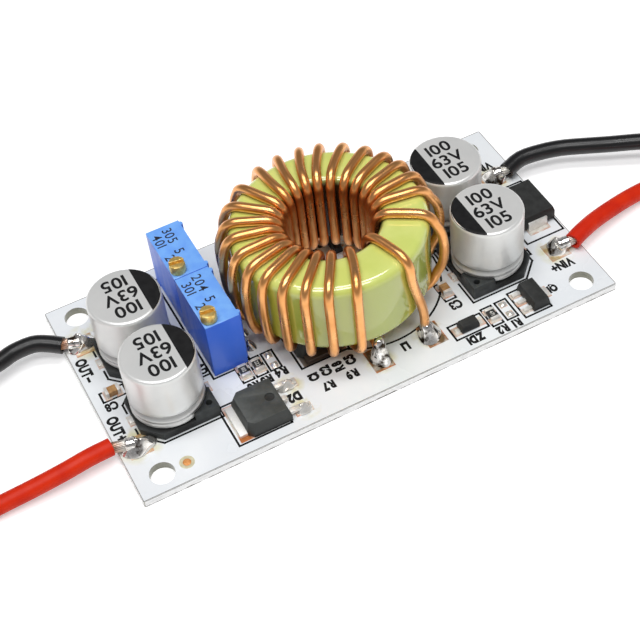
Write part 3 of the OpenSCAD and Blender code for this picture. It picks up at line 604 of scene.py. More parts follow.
# %% Stain its top
wire_spots = ((-32.0, -9.6, 3.4), (-31.6, 10.2, 3.6), (31.4, -8.6, 3.0), (31.2, 8.1, 3.0))
coil_spots = ((1.05, -13.2, 2.6), (8.8, -12.7, 2.6))
foot_spots = ((-11.2, -10.77, 2.2), (-11.0, -15.22, 2.2))
bare, under = (calc(tree, "LESS_THAN", upward(tree), limit) for limit in (0.5, -0.5))
# A thin grey line along the edge of the top.
recolour(board_white, calc(tree, "SUBTRACT", 1.0, within(0.11)), (150, 150, 146))
recolour(board_white, flux_film(tree, wire_spots + coil_spots + foot_spots), (222, 217, 178))
recolour(board_white, bare, mixed(tree, under, worn, brushed))
metal = calc(tree, "MULTIPLY_ADD", under, 0.7, calc(tree, "MULTIPLY", bare, 0.1))
tree.links.new(metal, tree.nodes["Principled BSDF"].inputs["Metallic"])
nodes["board"].data.materials.clear()
nodes["board"].data.materials.append(board_white)
print("stained joints:", len(wire_spots + coil_spots + foot_spots))

# %% [markdown]
# ## Lands and their copper rims
# Every joint sits on a small plate of tinned copper. The tin is thin at the rim, so an orange line
# of copper shows round many of them, and one corner is bare. Flux has browned the lands of the
# wires and the coil. Each land is a grid of points with three rings of points close to its edge,
# and a mark that is one at the rim and zero inside.

# %% Tin the lands
tinned_land = finish("tinned_land", (243, 241, 234), (226, 222, 210), 0.6, (0.32, 0.46), 0.4, 4,
                     Metallic=0.35)
tree = tinned_land.node_tree
thin = calc(tree, "MULTIPLY_ADD", clouds(tree, 900.0, 3.0), 2.4, -0.85)
recolour(tinned_land, flux_film(tree, wire_spots, 0.32, 0.56), (190, 166, 118))
burnt_spots = [(x, y, 4.0) for x, y, reach in coil_spots]
bare_corner = (-19.9, -15.9, seat_z)
recolour(tinned_land, flux_film(tree, burnt_spots, 0.32, 0.5), (122, 100, 70))
recolour(tinned_land, near_spot(tree, bare_corner, 1.3, 0.7), (186, 112, 56))
recolour(tinned_land, calc(tree, "MULTIPLY", thin, marked(tree, "rim"), clamp=True), (226, 138, 84))
print("browned joints:", len(wire_spots + coil_spots))

# %% Make the lands
def plates(low, high, edge):
    """Plates as grids: points crowd at the edge, where the outermost ring drops to the plate's foot."""
    middle, half = (high + low) / 2, (high - low) / 2
    end = np.repeat([-1, 0, 1], (4, 1, 4))
    inset = edge * np.array([0, 0, 1, 2.2, 0, -2.2, -1, 0, 0])
    x, y = (middle[:, k, None] + end * half[:, k, None] + inset for k in (0, 1))
    x, y = np.broadcast_arrays(x[:, :, None], y[:, None, :])
    step = np.array([0, 1, 1, 1, 1, 1, 1, 1, 0])
    z = low[:, 2, None, None] + (high - low)[:, 2, None, None] * step[:, None] * step
    near = np.array([1, 1, 0.6, 0, 0, 0, 0.6, 1, 1])
    return np.stack([x, y, z], -1), np.broadcast_to(np.maximum(near[:, None], near), x.shape)


low, high, corners = solid_boxes("copper_lands")
square, rim_width = corners == 8, 0.16
grids, marks = plates(low[square], high[square], rim_width)
lands = surface("land_plates", grids, closed=False, marks={"rim": marks}, sharp=40)
fit(lands, tinned_land, "tinned_copper", "copper_lands")
print("lands:", int(square.sum()))

# %% Ring the test point
bare_copper = finish("bare_copper", (236, 166, 98), (216, 140, 74), 0.4, (0.4, 0.5), 0.2, 3, Metallic=0.3)
cream = finish("bare_laminate", (216, 210, 178), (198, 190, 156), 0.4, (0.4, 0.55), 0.2, 3)
test_place = (-27.84, -15.2)
dot = np.array([(0, 1.27), (0.42, 1.27), (0.5, 1.25), (0.55, 1.2)])
ring = np.array([(0.55, 1.205), (0.6, 1.215), (0.94, 1.215), (1.0, 1.2)])
fit(surface("test_dot", revolved(dot, test_place, 40), sharp=60), bare_copper, "strand_copper")
fit(surface("test_ring", revolved(ring, test_place, 48), sharp=60, outward=False), cream, "board_white")
print("test point at", test_place)

# %% [markdown]
# ## The toroid core
# The core is a pressed powder ring in a thick lime coating. Its profile is a rounded rectangle
# turned round the coil's axis. The coating is glossy with a faint orange-peel, so the rounded top
# edge shows one bright broken line of light. Little light comes into the hole: its wall is painted
# in a dark shade and has no coat, and the outer wall is painted a darker lime as shade.

# %% Turn the core
core_lime = finish("core_lime", (222, 232, 132), (212, 224, 116), 4, (0.16, 0.26), 1.6, 12,
                   Coat_Weight=1.0, Coat_Roughness=0.03, Coat_IOR=1.7)
coil_x, coil_y = 1.42, 0.0
core_inner, core_outer, core_corner, core_sides = 6.8, 13.25, 1.4, 128
hole_edge, hole_fade = 7.5, 0.6


def rounded_ring(inner, outer, low, high, r, steps=10):
    """Profile of a ring: a rectangle whose four corners are quarter circles, as radius and height."""
    centres = np.array([(inner, low), (outer, low), (outer, high), (inner, high)])
    centres = centres + r * np.array([(1, 1), (-1, 1), (-1, -1), (1, -1)])
    turn = np.pi * np.array([1, 1.5, 0, 0.5])[:, None] + np.linspace(0, np.pi / 2, steps)
    return (centres[:, None] + polar(turn, r)).reshape(-1, 2)


core_low, core_high = (corner.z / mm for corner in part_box("toroid_core"))
profile = rounded_ring(core_inner, core_outer, core_low, core_high, core_corner)
profile = np.vstack([profile, profile[:1]])
core_grid = revolved(profile, (coil_x, coil_y), core_sides)
hole_shade = np.clip((hole_edge - profile[:, :1]) / hole_fade, 0, 1)
hole_shade = np.broadcast_to(hole_shade, core_grid.shape[:2])
core = surface("core_ring", core_grid, marks={"hole": hole_shade}, sharp=60)
# Painted shade: the outer wall is a deeper lime than the top, and the hole's wall is dark brown.
paint_wall_shade(core_lime, (182, 193, 78))
recolour_by_mark(core_lime, "hole", (62, 42, 22))
tree = core_lime.node_tree
varnish = calc(tree, "SUBTRACT", 1.0, marked(tree, "hole"))
tree.links.new(varnish, tree.nodes["Principled BSDF"].inputs["Coat Weight"])
fit(core, core_lime, "core_lime", "toroid_core")
print("core height:", round(core_high - core_low, 2), "mm")

# %% [markdown]
# ## The winding
# Twenty-three turns of thick enamelled copper are wound by hand, so no two are spaced alike and
# some stand a little off the core. Every turn goes up through the hole, over the top, down the
# outside and back under the core. That way is a rounded rectangle, with the angle outside, the
# angle in the hole and the slack of each turn from a table. The whole way, from the first joint to
# the last, is then laid out at even steps, and each point moves to the bell-shaped mean of its
# neighbours, which bends the wire as stiff copper bends.

# %% List the turns
enamel = finish("enamelled_copper", (247, 180, 113), (231, 159, 89), 2.5, (0.27, 0.36), 0.5, 3,
                Metallic=0.97, Coat_Weight=0.32, Coat_Roughness=0.2, Coat_IOR=1.6)
wire_d, inner_r, outer_r, low_z, high_z, bend_r, bulge = 1.3, 6.08, 13.97, 4.3, 17.138, 2.12, 1.3
turns = np.array([
    (258, 267, 0), (243, 247, 0), (230.5, 233, 0), (218, 220.3, .1), (206, 207.7, .3), (194.5, 195.1, .45),
    (182, 182.5, .45), (168, 169.9, .45), (155.5, 157.3, .6), (141, 144.7, .6), (125, 131.5, .6),
    (107, 117.5, .4), (93, 103, .2), (79, 89, 0), (67, 75, 0), (53, 60, 0), (39.5, 43.5, 0), (27, 28.5, .2),
    (15.5, 13.5, .4), (3, -0.5, .7), (-11, -13.2, 1), (-32, -31, .8), (-69, -65, 0)])
print("turns:", len(turns))

# %% Lay out the turns
def eased(t):
    """A share that starts and stops gently: three times its square less twice its cube."""
    return t**2 * (3 - 2 * t)


def wound_turns(turns):
    """Each turn follows a rounded rectangle of radius and height. Its angle drifts above and below."""
    loop = rounded_ring(inner_r, outer_r, low_z, high_z, bend_r)[::-1]
    loop = np.vstack([loop, loop[:1]])
    over = np.pi * bend_r + outer_r - inner_r - 2 * bend_r
    tall = high_z - low_z - 2 * bend_r
    s = np.linspace(0, 2 * (over + tall), 110, endpoint=False)
    radius, height = (np.interp(s, travelled(loop), axis) for axis in loop.T)
    outside, inside, slack = turns.T[:, :, None]
    following = np.append(inside[1:], inside[-1:], 0)
    above, below = (eased(np.clip((s - first) / over, 0, 1)) for first in (0, over + tall))
    angle = np.radians(inside + (outside - inside) * above + (following - outside) * below)
    radius = radius + bulge * slack * np.sqrt(np.sin(np.pi * np.clip((s - over) / tall, 0, 1)))
    upright = np.broadcast_to(height, angle.shape)[..., None]
    return np.concatenate([polar(angle, radius) + (coil_x, coil_y), upright], -1), s < over


loops, crossing = wound_turns(turns)
print("points in each turn:", loops.shape[1])

# %% Relax a path
wire_step, stiffness = 0.4, 0.5


def relaxed(path, step, reach):
    """A path at even steps, each point moved to the bell-shaped mean of its neighbours."""
    gone = travelled(path)
    places = np.linspace(0, gone[-1], int(gone[-1] / step))
    even = np.stack([np.interp(places, gone, axis) for axis in path.T], -1)
    span = int(3 * reach / step)
    bell = np.exp(-0.5 * (np.arange(-span, span + 1) * step / reach) ** 2)
    padded = np.pad(even, ((span, span), (0, 0)), mode="reflect", reflect_type="odd")
    return np.stack([np.convolve(axis, bell / bell.sum(), "valid") for axis in padded.T], -1)


print("steps along the wire:", wire_step, "mm")

# %% Join the turns into one wire
middle, start_pad, end_foot = np.array([(coil_x, coil_y), (1.02, -13.05), (8.42, -12.35)])
lead_bend, foot_z, end_rings, bare_fade = 1.2, 4.2, 16, 0.8
t = np.radians([90, 60, 30, 0])[:, None]
ahead = start_pad + unit(middle - start_pad) * lead_bend * (1 - np.sin(t))
lead_in = np.hstack([ahead, low_z - lead_bend * (1 - np.cos(t))])
outward = polar(radians(turns[0, 1]))
entry = middle + inner_r * outward
below = entry + bend_r * outward
hole_in = np.array([(*below, low_z), (*entry, low_z + bend_r), (*entry, high_z - bend_r)])
down = np.linspace(0.1, 1, 10)[:, None]
last_side = loops[-1, crossing][-1]
swing = last_side[:2] + (end_foot - last_side[:2]) * eased(down)
drop = np.hstack([swing, last_side[2] + (foot_z - last_side[2]) * down])
way = np.vstack([(*start_pad, seat_z), lead_in, hole_in, loops[:-1].reshape(-1, 3), loops[-1, crossing],
                 drop, (*end_foot, 3.0), (*end_foot, seat_z)])
wire_path = relaxed(way, wire_step, stiffness)
azimuth = np.arctan2(wire_path[:, 1] - coil_y, wire_path[:, 0] - coil_x)
round_axis = np.column_stack([polar(azimuth + np.pi / 2), 0 * azimuth])
wire_grid = tube(wire_path, round_axis, wire_d / 2, 16)
stripped = np.zeros(wire_grid.shape[:2])
for end, top in ((slice(None, end_rings), 3.6), (slice(-end_rings, None), 4.0)):
    stripped[end] = np.clip((top - wire_grid[end, :, 2]) / bare_fade, 0, 1)
winding = surface("copper_winding", wire_grid, marks={"stripped": stripped}, sharp=80)
recolour_by_mark(enamel, "stripped", (190, 164, 140))
fit(winding, enamel, "enamelled_copper", "toroid_winding")
print("wire in the coil:", round(path_length(wire_path)), "mm")

# %% [markdown]
# ## Capacitor cans
# A can is drawn from thin aluminium and closed by two rolled grooves near its foot. Its profile is
# turned like the core's: a curled foot, the grooves, a straight wall and a rounded rim round a
# flat top. The metal is satin, and a mark paints shade into the grooves and at the foot.

# %% Draw a can
can_foot, can_top, can_r, rim_r, foot_r, can_sides = 2.4, 11.8, 5.0, 0.5, 0.4, 96
seam, neck = (1.0, 0.32, 0.12), (2.0, 0.55, 0.36)


def groove(rise, half_width, depth):
    """Radius and height of a round groove: the depth follows a cosine across the width."""
    across = np.linspace(-1, 1, 15)
    radius = can_r - depth * np.cos(across * np.pi / 2) ** 1.5
    return np.stack([radius, can_foot + rise + half_width * across], -1)


def can_profile():
    """Radius and height: curled foot, two grooves, straight wall, rounded rim, flat top."""
    turn = np.linspace(0, np.pi / 2, 10)
    foot = polar(turn - np.pi / 2, foot_r) + (can_r - foot_r, can_foot + foot_r)
    rim = polar(turn, rim_r) + (can_r - rim_r, can_top - rim_r)
    floor = [(0, can_foot), (can_r - 0.6, can_foot)]
    wall = [(can_r, can_foot + 3.2), (can_r, can_top - 2), (can_r, can_top - 0.9)]
    lid = [(can_r - 0.7, can_top), (2.5, can_top), (0, can_top)]
    return np.vstack([floor, foot, groove(*seam), groove(*neck), wall, rim, lid])


profile = can_profile()
print("points of the profile:", len(profile))

# %% Turn the cans
can_metal = finish("can_aluminium", (242, 242, 239), (222, 223, 221), 9, (0.32, 0.42), 0.2, 5, Metallic=0.45)
can_names = ["output_cap_can_far", "output_cap_can_near", "input_cap_can_near", "input_cap_can_far"]
can_places = np.array([(-26.1, 5.55), (-26.1, -5.55), (22.15, -5.55), (22.15, 5.55)])
rise = profile[:, 1:] - can_foot
in_seam, in_neck = (np.clip(1 - np.abs(rise - centre) / half, 0, 1) for centre, half, depth in (seam, neck))
# Painted shade: the grooves and the foot of each can are darker.
shade = np.max([0.7 * in_seam, 0.75 * in_neck, 0.22 * (rise < neck[0]), 0.4 * (rise < 0.3)], axis=0)
groove_shade = np.broadcast_to(shade, (len(profile), can_sides))
recolour_by_mark(can_metal, "groove_shade", (138, 139, 138))
for name, place in zip(can_names, can_places):
    can_grid = revolved(profile, place, can_sides)
    can = surface(name.replace("_cap_can", "_can"), can_grid, marks={"groove_shade": groove_shade}, sharp=50)
    fit(can, can_metal, "can_aluminium", name)
print("cans:", len(can_names))

# %% [markdown]
# ## Printing
# Ink is printed on the board, the cans and the trimmers. Letters come from Blender's own font, one
# character at a time: its mesh is read as an array, its edge is pushed out to make it bold, and the
# characters are set side by side, turned and moved. Lines are thin flat strips. All ink lies a
# hundredth of a millimetre above what carries it, and the dark moons on the cans follow the rim.

# %% Shape letters
glyphs = {}
ink_rise, capital_share, whole_share = 0.01, 0.72, 0.88
bold_shares = (0, 1, 0.9, 0.8, 0.65, 0.5, 0.35, 0)


def glyph(character, bold):
    """A character one unit high. Its edge is pushed out by the bold share, or less where it would tear."""
    if (character, bold) in glyphs:
        return glyphs[character, bold]
    text = bpy.data.curves.new("glyph", "FONT")
    text.body, text.size = character, 1 / capital_share
    holder = shown("glyph", text)
    plain_area = edge_length = 0
    for share in bold_shares:
        text.offset = share * bold
        bpy.context.view_layer.update()
        mesh = bpy.data.meshes.new_from_object(holder.evaluated_get(bpy.context.evaluated_depsgraph_get()))
        shape = bmesh.new()
        shape.from_mesh(mesh)
        bpy.data.meshes.remove(mesh)
        area = sum(face.calc_area() for face in shape.faces)
        points = np.array([vertex.co[:2] for vertex in shape.verts])
        faces = [tuple(vertex.index for vertex in face.verts) for face in shape.faces]
        if not plain_area:
            plain_area = area
            edge_length = sum(edge.calc_length() for edge in shape.edges if edge.is_boundary)
        elif area > whole_share * (plain_area + edge_length * text.offset):
            break
        shape.free()
    bpy.data.objects.remove(holder)
    glyphs[character, bold] = points, faces
    return points, faces


print("font size for capitals one unit high:", round(1 / capital_share, 2))

# %% Set words
def joined(parts):
    """Several sets of points and faces as one: corner numbers go up by the points that came before."""
    firsts = np.cumsum([0] + [len(points) for points, faces in parts]).tolist()
    faces = [tuple(first + k for k in face) for first, part in zip(firsts, parts) for face in part[1]]
    return np.vstack([points for points, faces in parts]), faces


def letters(words, size, bold, gap):
    """A line of text round the origin: characters stand side by side with a gap, a share of their height."""
    parts, ahead = [], 0
    for character in words:
        flat, fill = glyph(character, bold)
        parts.append((flat + (ahead - flat[:, 0].min(), 0), fill))
        ahead += np.ptp(flat[:, 0]) + gap
    points, faces = joined(parts)
    return (points - (points.max(0) + points.min(0)) / 2) * size, faces


print("two joined triangles:", joined([(np.eye(3, 2), [(0, 1, 2)])] * 2)[1])

# %% Set ink and lines
def print_ink(name, texts, z, material, wide=1.0, bold=0.02, gap=0.18, strips=()):
    """Ink at one height. Texts are rows of capital height, reading angle, and words with their places."""
    corners = np.reshape(strips, (-1, 2))
    parts = [(corners, np.arange(len(corners)).reshape(-1, 4).tolist())]
    for size, angle, group in texts:
        turn = polar(radians(angle) + np.array([0, np.pi / 2]))
        for words, x, y in group:
            flat, fill = letters(words, size, bold, gap)
            parts.append(((flat * (wide, 1)) @ turn + (x, y), fill))
    points, faces = joined(parts)
    raised = np.column_stack([points, np.full(len(points), z + ink_rise)])
    return fit(piece(name, raised, faces, outward=False), material, "mould_black")


def strips_between(segments, width):
    """Flat strips from lists of two end points: each is pushed out by half the width on every side."""
    s = np.asarray(segments, float).reshape(-1, 2, 2)
    along = unit(s[:, 1] - s[:, 0]) * width / 2
    across = np.stack([-along[:, 1], along[:, 0]], -1)
    a, b = s[:, 0] - along, s[:, 1] + along
    return np.stack([a - across, b - across, b + across, a + across], 1)


silk_black = finish("print_black", (14, 14, 15), (24, 24, 25), 0.8, (0.5, 0.6), 0.2, 3,
                    Specular_IOR_Level=0.25)
print("ink:", silk_black.name)

# %% Draw the outlines
outlines = []
for x0, y0, x1, y1 in [
        (-21.0, -16.4, -13.5, -9.5), (-8.53, -9.27, -1.48, -2.0), (28.7, -5.6, 34.6, 5.6),
        (21.34, -16.9, 25.4, -12.0), (19.0, -16.0, 20.7, -12.55), (16.8, -16.0, 18.4, -12.6),
        (11.42, -15.6, 16.37, -13.0), (13.6, -8.9, 15.2, -5.6), (-33.55, -0.9, -30.2, 0.8),
        (-16.2, -7.45, -14.6, -4.1), (-14.2, -7.45, -12.6, -4.1), (-12.2, -7.45, -10.6, -4.1),
        (-19.35, -4.75, -13.8, 15.75)]:
    outlines += [(x0, y0, x1, y0), (x1, y0, x1, y1), (x1, y1, x0, y1), (x0, y1, x0, y0)]
base_half, chamfer_start, terminal_half = 5.45, 3.0, 1.5
ring_r, ring_centre, line_width = 11.45, (4.83, 0.03), 0.29
for x, y in can_places:
    out = np.sign(x)
    inner, bend, outer = x - out * base_half, x + out * chamfer_start, x + out * base_half
    for side in (-1, 1):
        edge, corner, end = (y + side * half for half in (base_half, chamfer_start, terminal_half))
        outlines += [(inner, edge, bend, edge), (bend, edge, outer, corner), (outer, corner, outer, end),
                     (inner, edge, inner, end)]
arc = polar(full_turn(72), ring_r) + ring_centre
outlines += np.hstack([arc, np.roll(arc, -1, 0)]).tolist()
lines = strips_between(outlines, line_width)
print("lines:", len(lines))

# %% Print the board
labels = [
    (1.25, 180, [("ZD1", 13.8, -16.55), ("R2", 17.65, -17.05), ("R1", 19.85, -17.05), ("R9", -3.2, -13.4),
                 ("R7", -6.75, -13.5), ("R4", -11.1, -8.3), ("R5", -13.3, -8.45), ("R6", -15.25, -8.55)]),
    (1.25, 90, [("C5", -2.35, -11.1), ("R8", -4.2, -11.3), ("C2", -5.95, -11.1), ("C1", -7.8, -11.25)]),
    (1.3, 180, [("L1", 5.1, -12.9), ("R11", 3.15, 9.75)]), (1.15, 180, [("Q1", 27.17, -14.2)]),
    (1.35, 180, [("D2", -11.5, -12.95)]), (1.2, 180, [("D1", 27.6, -6.9)]),
    (1.2, -90, [("ADJ", -20.2, -2.5)])]
large_labels = [
    (1.45, -90, [("OUT\u2013", -33.7, 5.5), ("OUT+", -33.65, -5.75)]), (1.3, 180, [("C8", -32.85, -1.95)]),
    (1.4, 180, [("VIN+", 30.7, -11.35), ("VIN\u2013", 31.1, 10.85), ("C3", 14.5, -10.05)])]
print_ink("board_print", labels, board_top, silk_black, wide=0.74, bold=0.11, gap=0.0, strips=lines)
print_ink("large_print", large_labels, board_top, silk_black, wide=0.75, bold=0.08, gap=0.02)
print("labels:", sum(len(group) for size, angle, group in labels + large_labels))

# %% Print the cans and the trimmers
def lid_height(x, y):
    """Height of a can's lid at a place: flat, then falling along the rim's quarter circle."""
    past = np.clip((np.hypot(x, y) - can_r + rim_r) / rim_r, 0, 1)
    return can_top - rim_r + rim_r * np.sqrt(1 - past**2)


cap_texts, moons = [], []
chord, moon_r, moon_rise = 2.4, 4.85, 0.012
can_lines = (("100", 2.45), ("63V", -0.05), ("105", -2.55))
reach = np.sqrt(moon_r**2 - chord**2) * np.linspace(-1, 1, 33)[None, :]
out = chord + np.linspace(0, 1, 12)[:, None] * (np.sqrt(moon_r**2 - reach**2) - chord)
for x, y in can_places:
    s = 1 if x > 0 else -1
    cap_texts.append((2.0, 90 - 90 * s, [(words, x + s * 0.3, y + s * rise) for words, rise in can_lines]))
    moon = np.stack([x - s * out, y + reach + 0 * out, lid_height(out, reach) + moon_rise], -1)
    moons.append(moon[:, ::s])
fit(surface("capacitor_moons", np.array(moons), closed=False, outward=False), silk_black, "mould_black")
print_ink("capacitor_print", cap_texts, can_top, silk_black, wide=1.02, bold=0.03, gap=0.09)
trim_top = 10.9
trim_texts = [
    (1.4, -90, [(upper, -16.3, y + 3.25), ("5", -16.3, y), (lower, -18.0, y + 3.0), ("2", -17.9, y - 0.6)])
    for y, upper, lower in ((0, "204", "301"), (10, "305", "401"))]
trim_ink = finish("trimmer_ink", (24, 26, 40), (44, 48, 70), 0.5, (0.4, 0.55), 0.2, 3)
print_ink("trimmer_print", trim_texts, trim_top, trim_ink, wide=0.95, bold=0.01)
print("printed cans and trimmers:", len(cap_texts), len(trim_texts))

# %% [markdown]
# ## Bases, trimmers and moulded packages
# These keep the shapes of their solids and get softened edges. On the capacitor bases, the two
# posts of the chamfered side are sunk to the plate, so that the can's foot shows, and the plate
# carries painted shade close to the can. The plastics differ in gloss and grain: the bases are
# smooth and dark, the packages carry the fine spark texture of a mould, and the trimmers are a
# cloudy blue. The walls of the trimmers and packages, and the mould mark, carry painted shade.

# %% Finish the moulded bodies
base_black = finish("base_black", (62, 65, 65), (50, 53, 53), 1.5, (0.42, 0.55), 0.3, 6,
                    Specular_IOR_Level=0.3)
package_black = finish("package_black", (76, 79, 77), (64, 67, 65), 1.2, (0.4, 0.52), 0.14, 6,
                       Specular_IOR_Level=0.4)
small_black = finish("small_package_black", (52, 53, 52), (40, 41, 40), 1.2, (0.4, 0.52), 0.14, 6,
                     Specular_IOR_Level=0.35)
trimmer_blue = finish("trimmer_blue", (124, 182, 255), (108, 166, 250), 1.6, (0.32, 0.44), 0.5, 6,
                      stretch=(1, 1, 0.25))
brass = finish("screw_brass", (252, 224, 142), (230, 188, 102), 0.5, (0.28, 0.4), 0.12, 4, Metallic=0.8)
# Painted shade: the walls of the trimmers and the packages are darker than their tops.
paint_wall_shade(trimmer_blue, (54, 112, 246), 0.9)
paint_wall_shade(package_black, (48, 50, 48))
paint_wall_shade(small_black, (34, 35, 34))
# Painted shade in the dimple of the mould mark on the big package.
shaded_mould_mark = (-14.85, -13.0, 3.5)
recolour(package_black, near_spot(package_black.node_tree, shaded_mould_mark, 0.72, 0.6), (40, 42, 41))
# Painted shade: the plate is darker close to each can.
for place in can_places:
    recolour(base_black, near_spot(base_black.node_tree, (*place, can_foot), 5.8, 5.15), (20, 21, 21))
print("plastics:", base_black.name, package_black.name, small_black.name, trimmer_blue.name)

# %% Soften the moulded bodies
def lower_posts(points):
    """Posts on the chamfered side of a base, away from the coil, sink to the plate under the can."""
    x, z = points[:, 0], points[:, 2]
    sunk = (z > can_foot) & (np.abs(x) > np.abs(can_places[0, 0] if x[0] < 0 else can_places[2, 0]))
    return np.column_stack([points[:, :2], np.where(sunk, can_foot, z)])


for row in ("far", "near"):
    for side in ("output", "input"):
        softened(f"{side}_cap_base_{row}", 0.09, base_black, "cap_base_black", reshape=lower_posts)
    softened(f"trimmer_housing_{row}", 0.14, trimmer_blue, "trimmer_blue", segments=3)
    softened(f"trimmer_screw_{row}", 0.07, brass, "screw_brass", body=row + "_screw")
for part in ("output_diode", "switch"):
    softened(part + "_body", 0.1, package_black, "mould_black")
for part in ("input_diode", "regulator", "zener", "controller", "amplifier", "driver"):
    softened(part + "_body", 0.06, small_black, "mould_black")

# %% [markdown]
# ## Tinned metal and chip parts
# Lead frames, straps, terminals and the end caps of the chip parts are tinned metal, bright but
# not polished, with painted shade where the coil shades the big tab. The ceramic capacitors are
# brown, and the chip resistors are nearly black with a printed code.

# %% Finish the metal and the chip parts
tinned = finish("tinned_metal", (242, 241, 237), (226, 224, 218), 0.7, (0.3, 0.42), 0.4, 3, Metallic=0.45)
resistor_black = finish("resistor_black", (44, 46, 44), (30, 32, 30), 0.5, (0.22, 0.4), 0.15, 4)
ceramic_brown = finish("ceramic_brown", (186, 144, 92), (160, 116, 68), 0.5, (0.35, 0.5), 0.12, 5)
code_ink = finish("code_ink", (232, 232, 226), (210, 210, 204), 0.3, (0.4, 0.5), 0.1, 2)
tie_white = finish("tie_white", (236, 236, 230), (224, 224, 216), 1.5, (0.3, 0.45), 0.3, 6)
shaded_tab, chip_edge = (-5.0, -8.4, 1.5), 0.03
# Painted shade on the tinned metal and its land where the coil shades the big tab.
for metal in (tinned, tinned_land):
    recolour(metal, near_spot(metal.node_tree, shaded_tab, 4.4, 2.6), (96, 84, 74))
for node in ("capacitor_terminals", "trimmer_pins", "output_diode_frame", "switch_frame",
             "input_diode_straps", "regulator_leads", "zener_leads", "controller_leads", "amplifier_leads",
             "driver_leads", "sense_resistor_ends", "resistor_ends", "ceramic_ends"):
    softened(node, chip_edge, tinned, "tinned_copper")
for node in ("sense_resistor_body", "resistor_bodies"):
    softened(node, chip_edge, resistor_black, "resistor_black")
softened("ceramic_bodies", chip_edge, ceramic_brown, "ceramic_brown")
softened("coil_ties", 0.06, tie_white, "tie_white")
low, high, corners = solid_boxes("resistor_bodies")
codes = ("102", "222", "471", "103", "512", "331", "204", "153")
code_texts = [(0.46 * min(wide, deep), 180 if wide > deep else -90, [(codes[k % len(codes)], x, y)])
              for k, ((wide, deep), (x, y)) in enumerate(zip((high - low)[:, :2], (low + high)[:, :2] / 2))]
print_ink("resistor_codes", code_texts, high[:, 2].max(), code_ink, wide=0.85, bold=0.02, gap=0.1)

# %% [markdown]
# ## Solder
# Molten solder pulls itself into a drop that wets the land and climbs the wire. A drop is a grid in
# polar form: its height falls from the middle to the rim with a hollow skirt, and a few slow waves
# round it keep it from looking turned on a lathe. A sleeve of solder runs up the strands of each
# lead. Burnt flux leaves sooty patches on the big joints, most of all at the coil, and the same dark
# patches also stand in for painted dark reflections. Small drops are clean.

# %% Mix the solder
def solder_with_soot_and_painted_reflection(name, clean, burnt, soot_and_reflection):
    """Bright solder with sooty patches, which are also a painted dark reflection, where a cloud of noise is
    above one value, and wholly dark above another.
    """
    material = finish(name, (252, 250, 246), (222, 218, 211), 0.8, (0.05, 0.11), 1.7, 9, Metallic=0.88)
    tree = material.node_tree
    recolour(material, ranged(tree, clouds(tree, 800.0, 4.0), clean, burnt), soot_and_reflection)
    return material


# Partly painted reflection: the dark patches stand in for dark reflections as well as for burnt flux.
solder = solder_with_soot_and_painted_reflection("solder", 0.53, 0.66, (74, 58, 42))
burnt_solder_with_reflection = solder_with_soot_and_painted_reflection("burnt_solder_with_reflection", 0.47, 0.6, (52, 42, 30))
bright_tin = finish("bright_tin", (252, 250, 245), (238, 235, 227), 0.5, (0.1, 0.18), 1.4, 6, Metallic=0.6)
print("solder finishes:", solder.name, burnt_solder_with_reflection.name, bright_tin.name)

# %% Shape drops
def drops(centres, size, rise, seed, skirt=0.35, rows=14, sides=40):
    """Drops as polar grids: the height falls from a round crown to a hollow skirt, with slow waves."""
    centres, size = (np.asarray(values, float)[:, None, None, :] for values in (centres, size))
    rise = np.asarray(rise, float)[:, None, None]
    phase = np.random.default_rng(seed).uniform(0, 2 * np.pi, (4, len(rise), 1, 1))
    out = np.linspace(0, 1, rows)[None, :, None]
    turn = full_turn(sides)
    waves = zip((0.09, 0.05, 0.03), (2, 3, 5), phase)
    reach = out * (1 + out * sum(high * np.sin(count * turn + shift) for high, count, shift in waves))
    crown = (1 - out**2) ** 0.8 * (1 - skirt) + skirt * (1 - out**2) ** 3
    lump = 1 + 0.14 * np.sin(2 * turn + phase[3]) * np.sin(np.pi * out)
    flat = centres[..., :2] + size * polar(turn, reach)
    return np.concatenate([flat, centres[..., 2:] + (rise * crown * lump)[..., None]], -1)


wire_feet = [(-32.2, -10.05, seat_z), (-32.5, 10.05, seat_z), (31.75, -8.35, seat_z), (31.6, 8.05, seat_z)]
wire_sizes = [(2.3, 1.45), (1.95, 1.6), (1.65, 1.5), (1.8, 1.55)]
wire_drops = drops(wire_feet, wire_sizes, [1.8, 2.1, 1.8, 1.9], 3)
print("drops on the wires' lands:", len(wire_drops))

# %% Shape sleeves and joints of the coil
def sleeve(strand_path, first):
    """Solder along strands from a share of their way: a bar that widens and ends in a round nose."""
    t = np.linspace(0, 1, 20)
    way = strand_path[0] + (first + (1 - first) * t[:, None]) * (strand_path[-1] - strand_path[0])
    nose = np.sqrt(1 - 0.999 * np.clip((t - 0.6) / 0.4, 0, 1) ** 2)
    return tube(way, up_hint, (0.78 + 0.36 * t**1.2 + 0.04 * np.sin(9 * t)) * nose, 28)


def climbing_drop(base, top, width, seed, rows=26, sides=36, neck=0.72):
    """Solder that climbs a wire: rings move from the base to the top and shrink to the wire."""
    phase = np.random.default_rng(seed).uniform(0, 2 * np.pi, 3)
    rise, turn = np.linspace(0, 1, rows)[:, None], full_turn(sides)
    belly = (1 - rise) ** 0.75 * 0.55 + (1 - rise) ** 2.4 * 0.45
    wave = 0.08 * np.sin(2 * turn + phase[0]) + 0.05 * np.sin(3 * turn + phase[1] + 3 * rise)
    radius = (neck + (width - neck) * belly) * (1 + wave * (1 - rise)) * np.sqrt(1 - rise**10)
    way = np.array(base) + np.subtract(top, base) * np.hstack([rise**1.5, rise**1.5, rise])
    return way[:, None] + np.pad(polar(turn, radius), ((0, 0), (0, 0), (0, 1)))


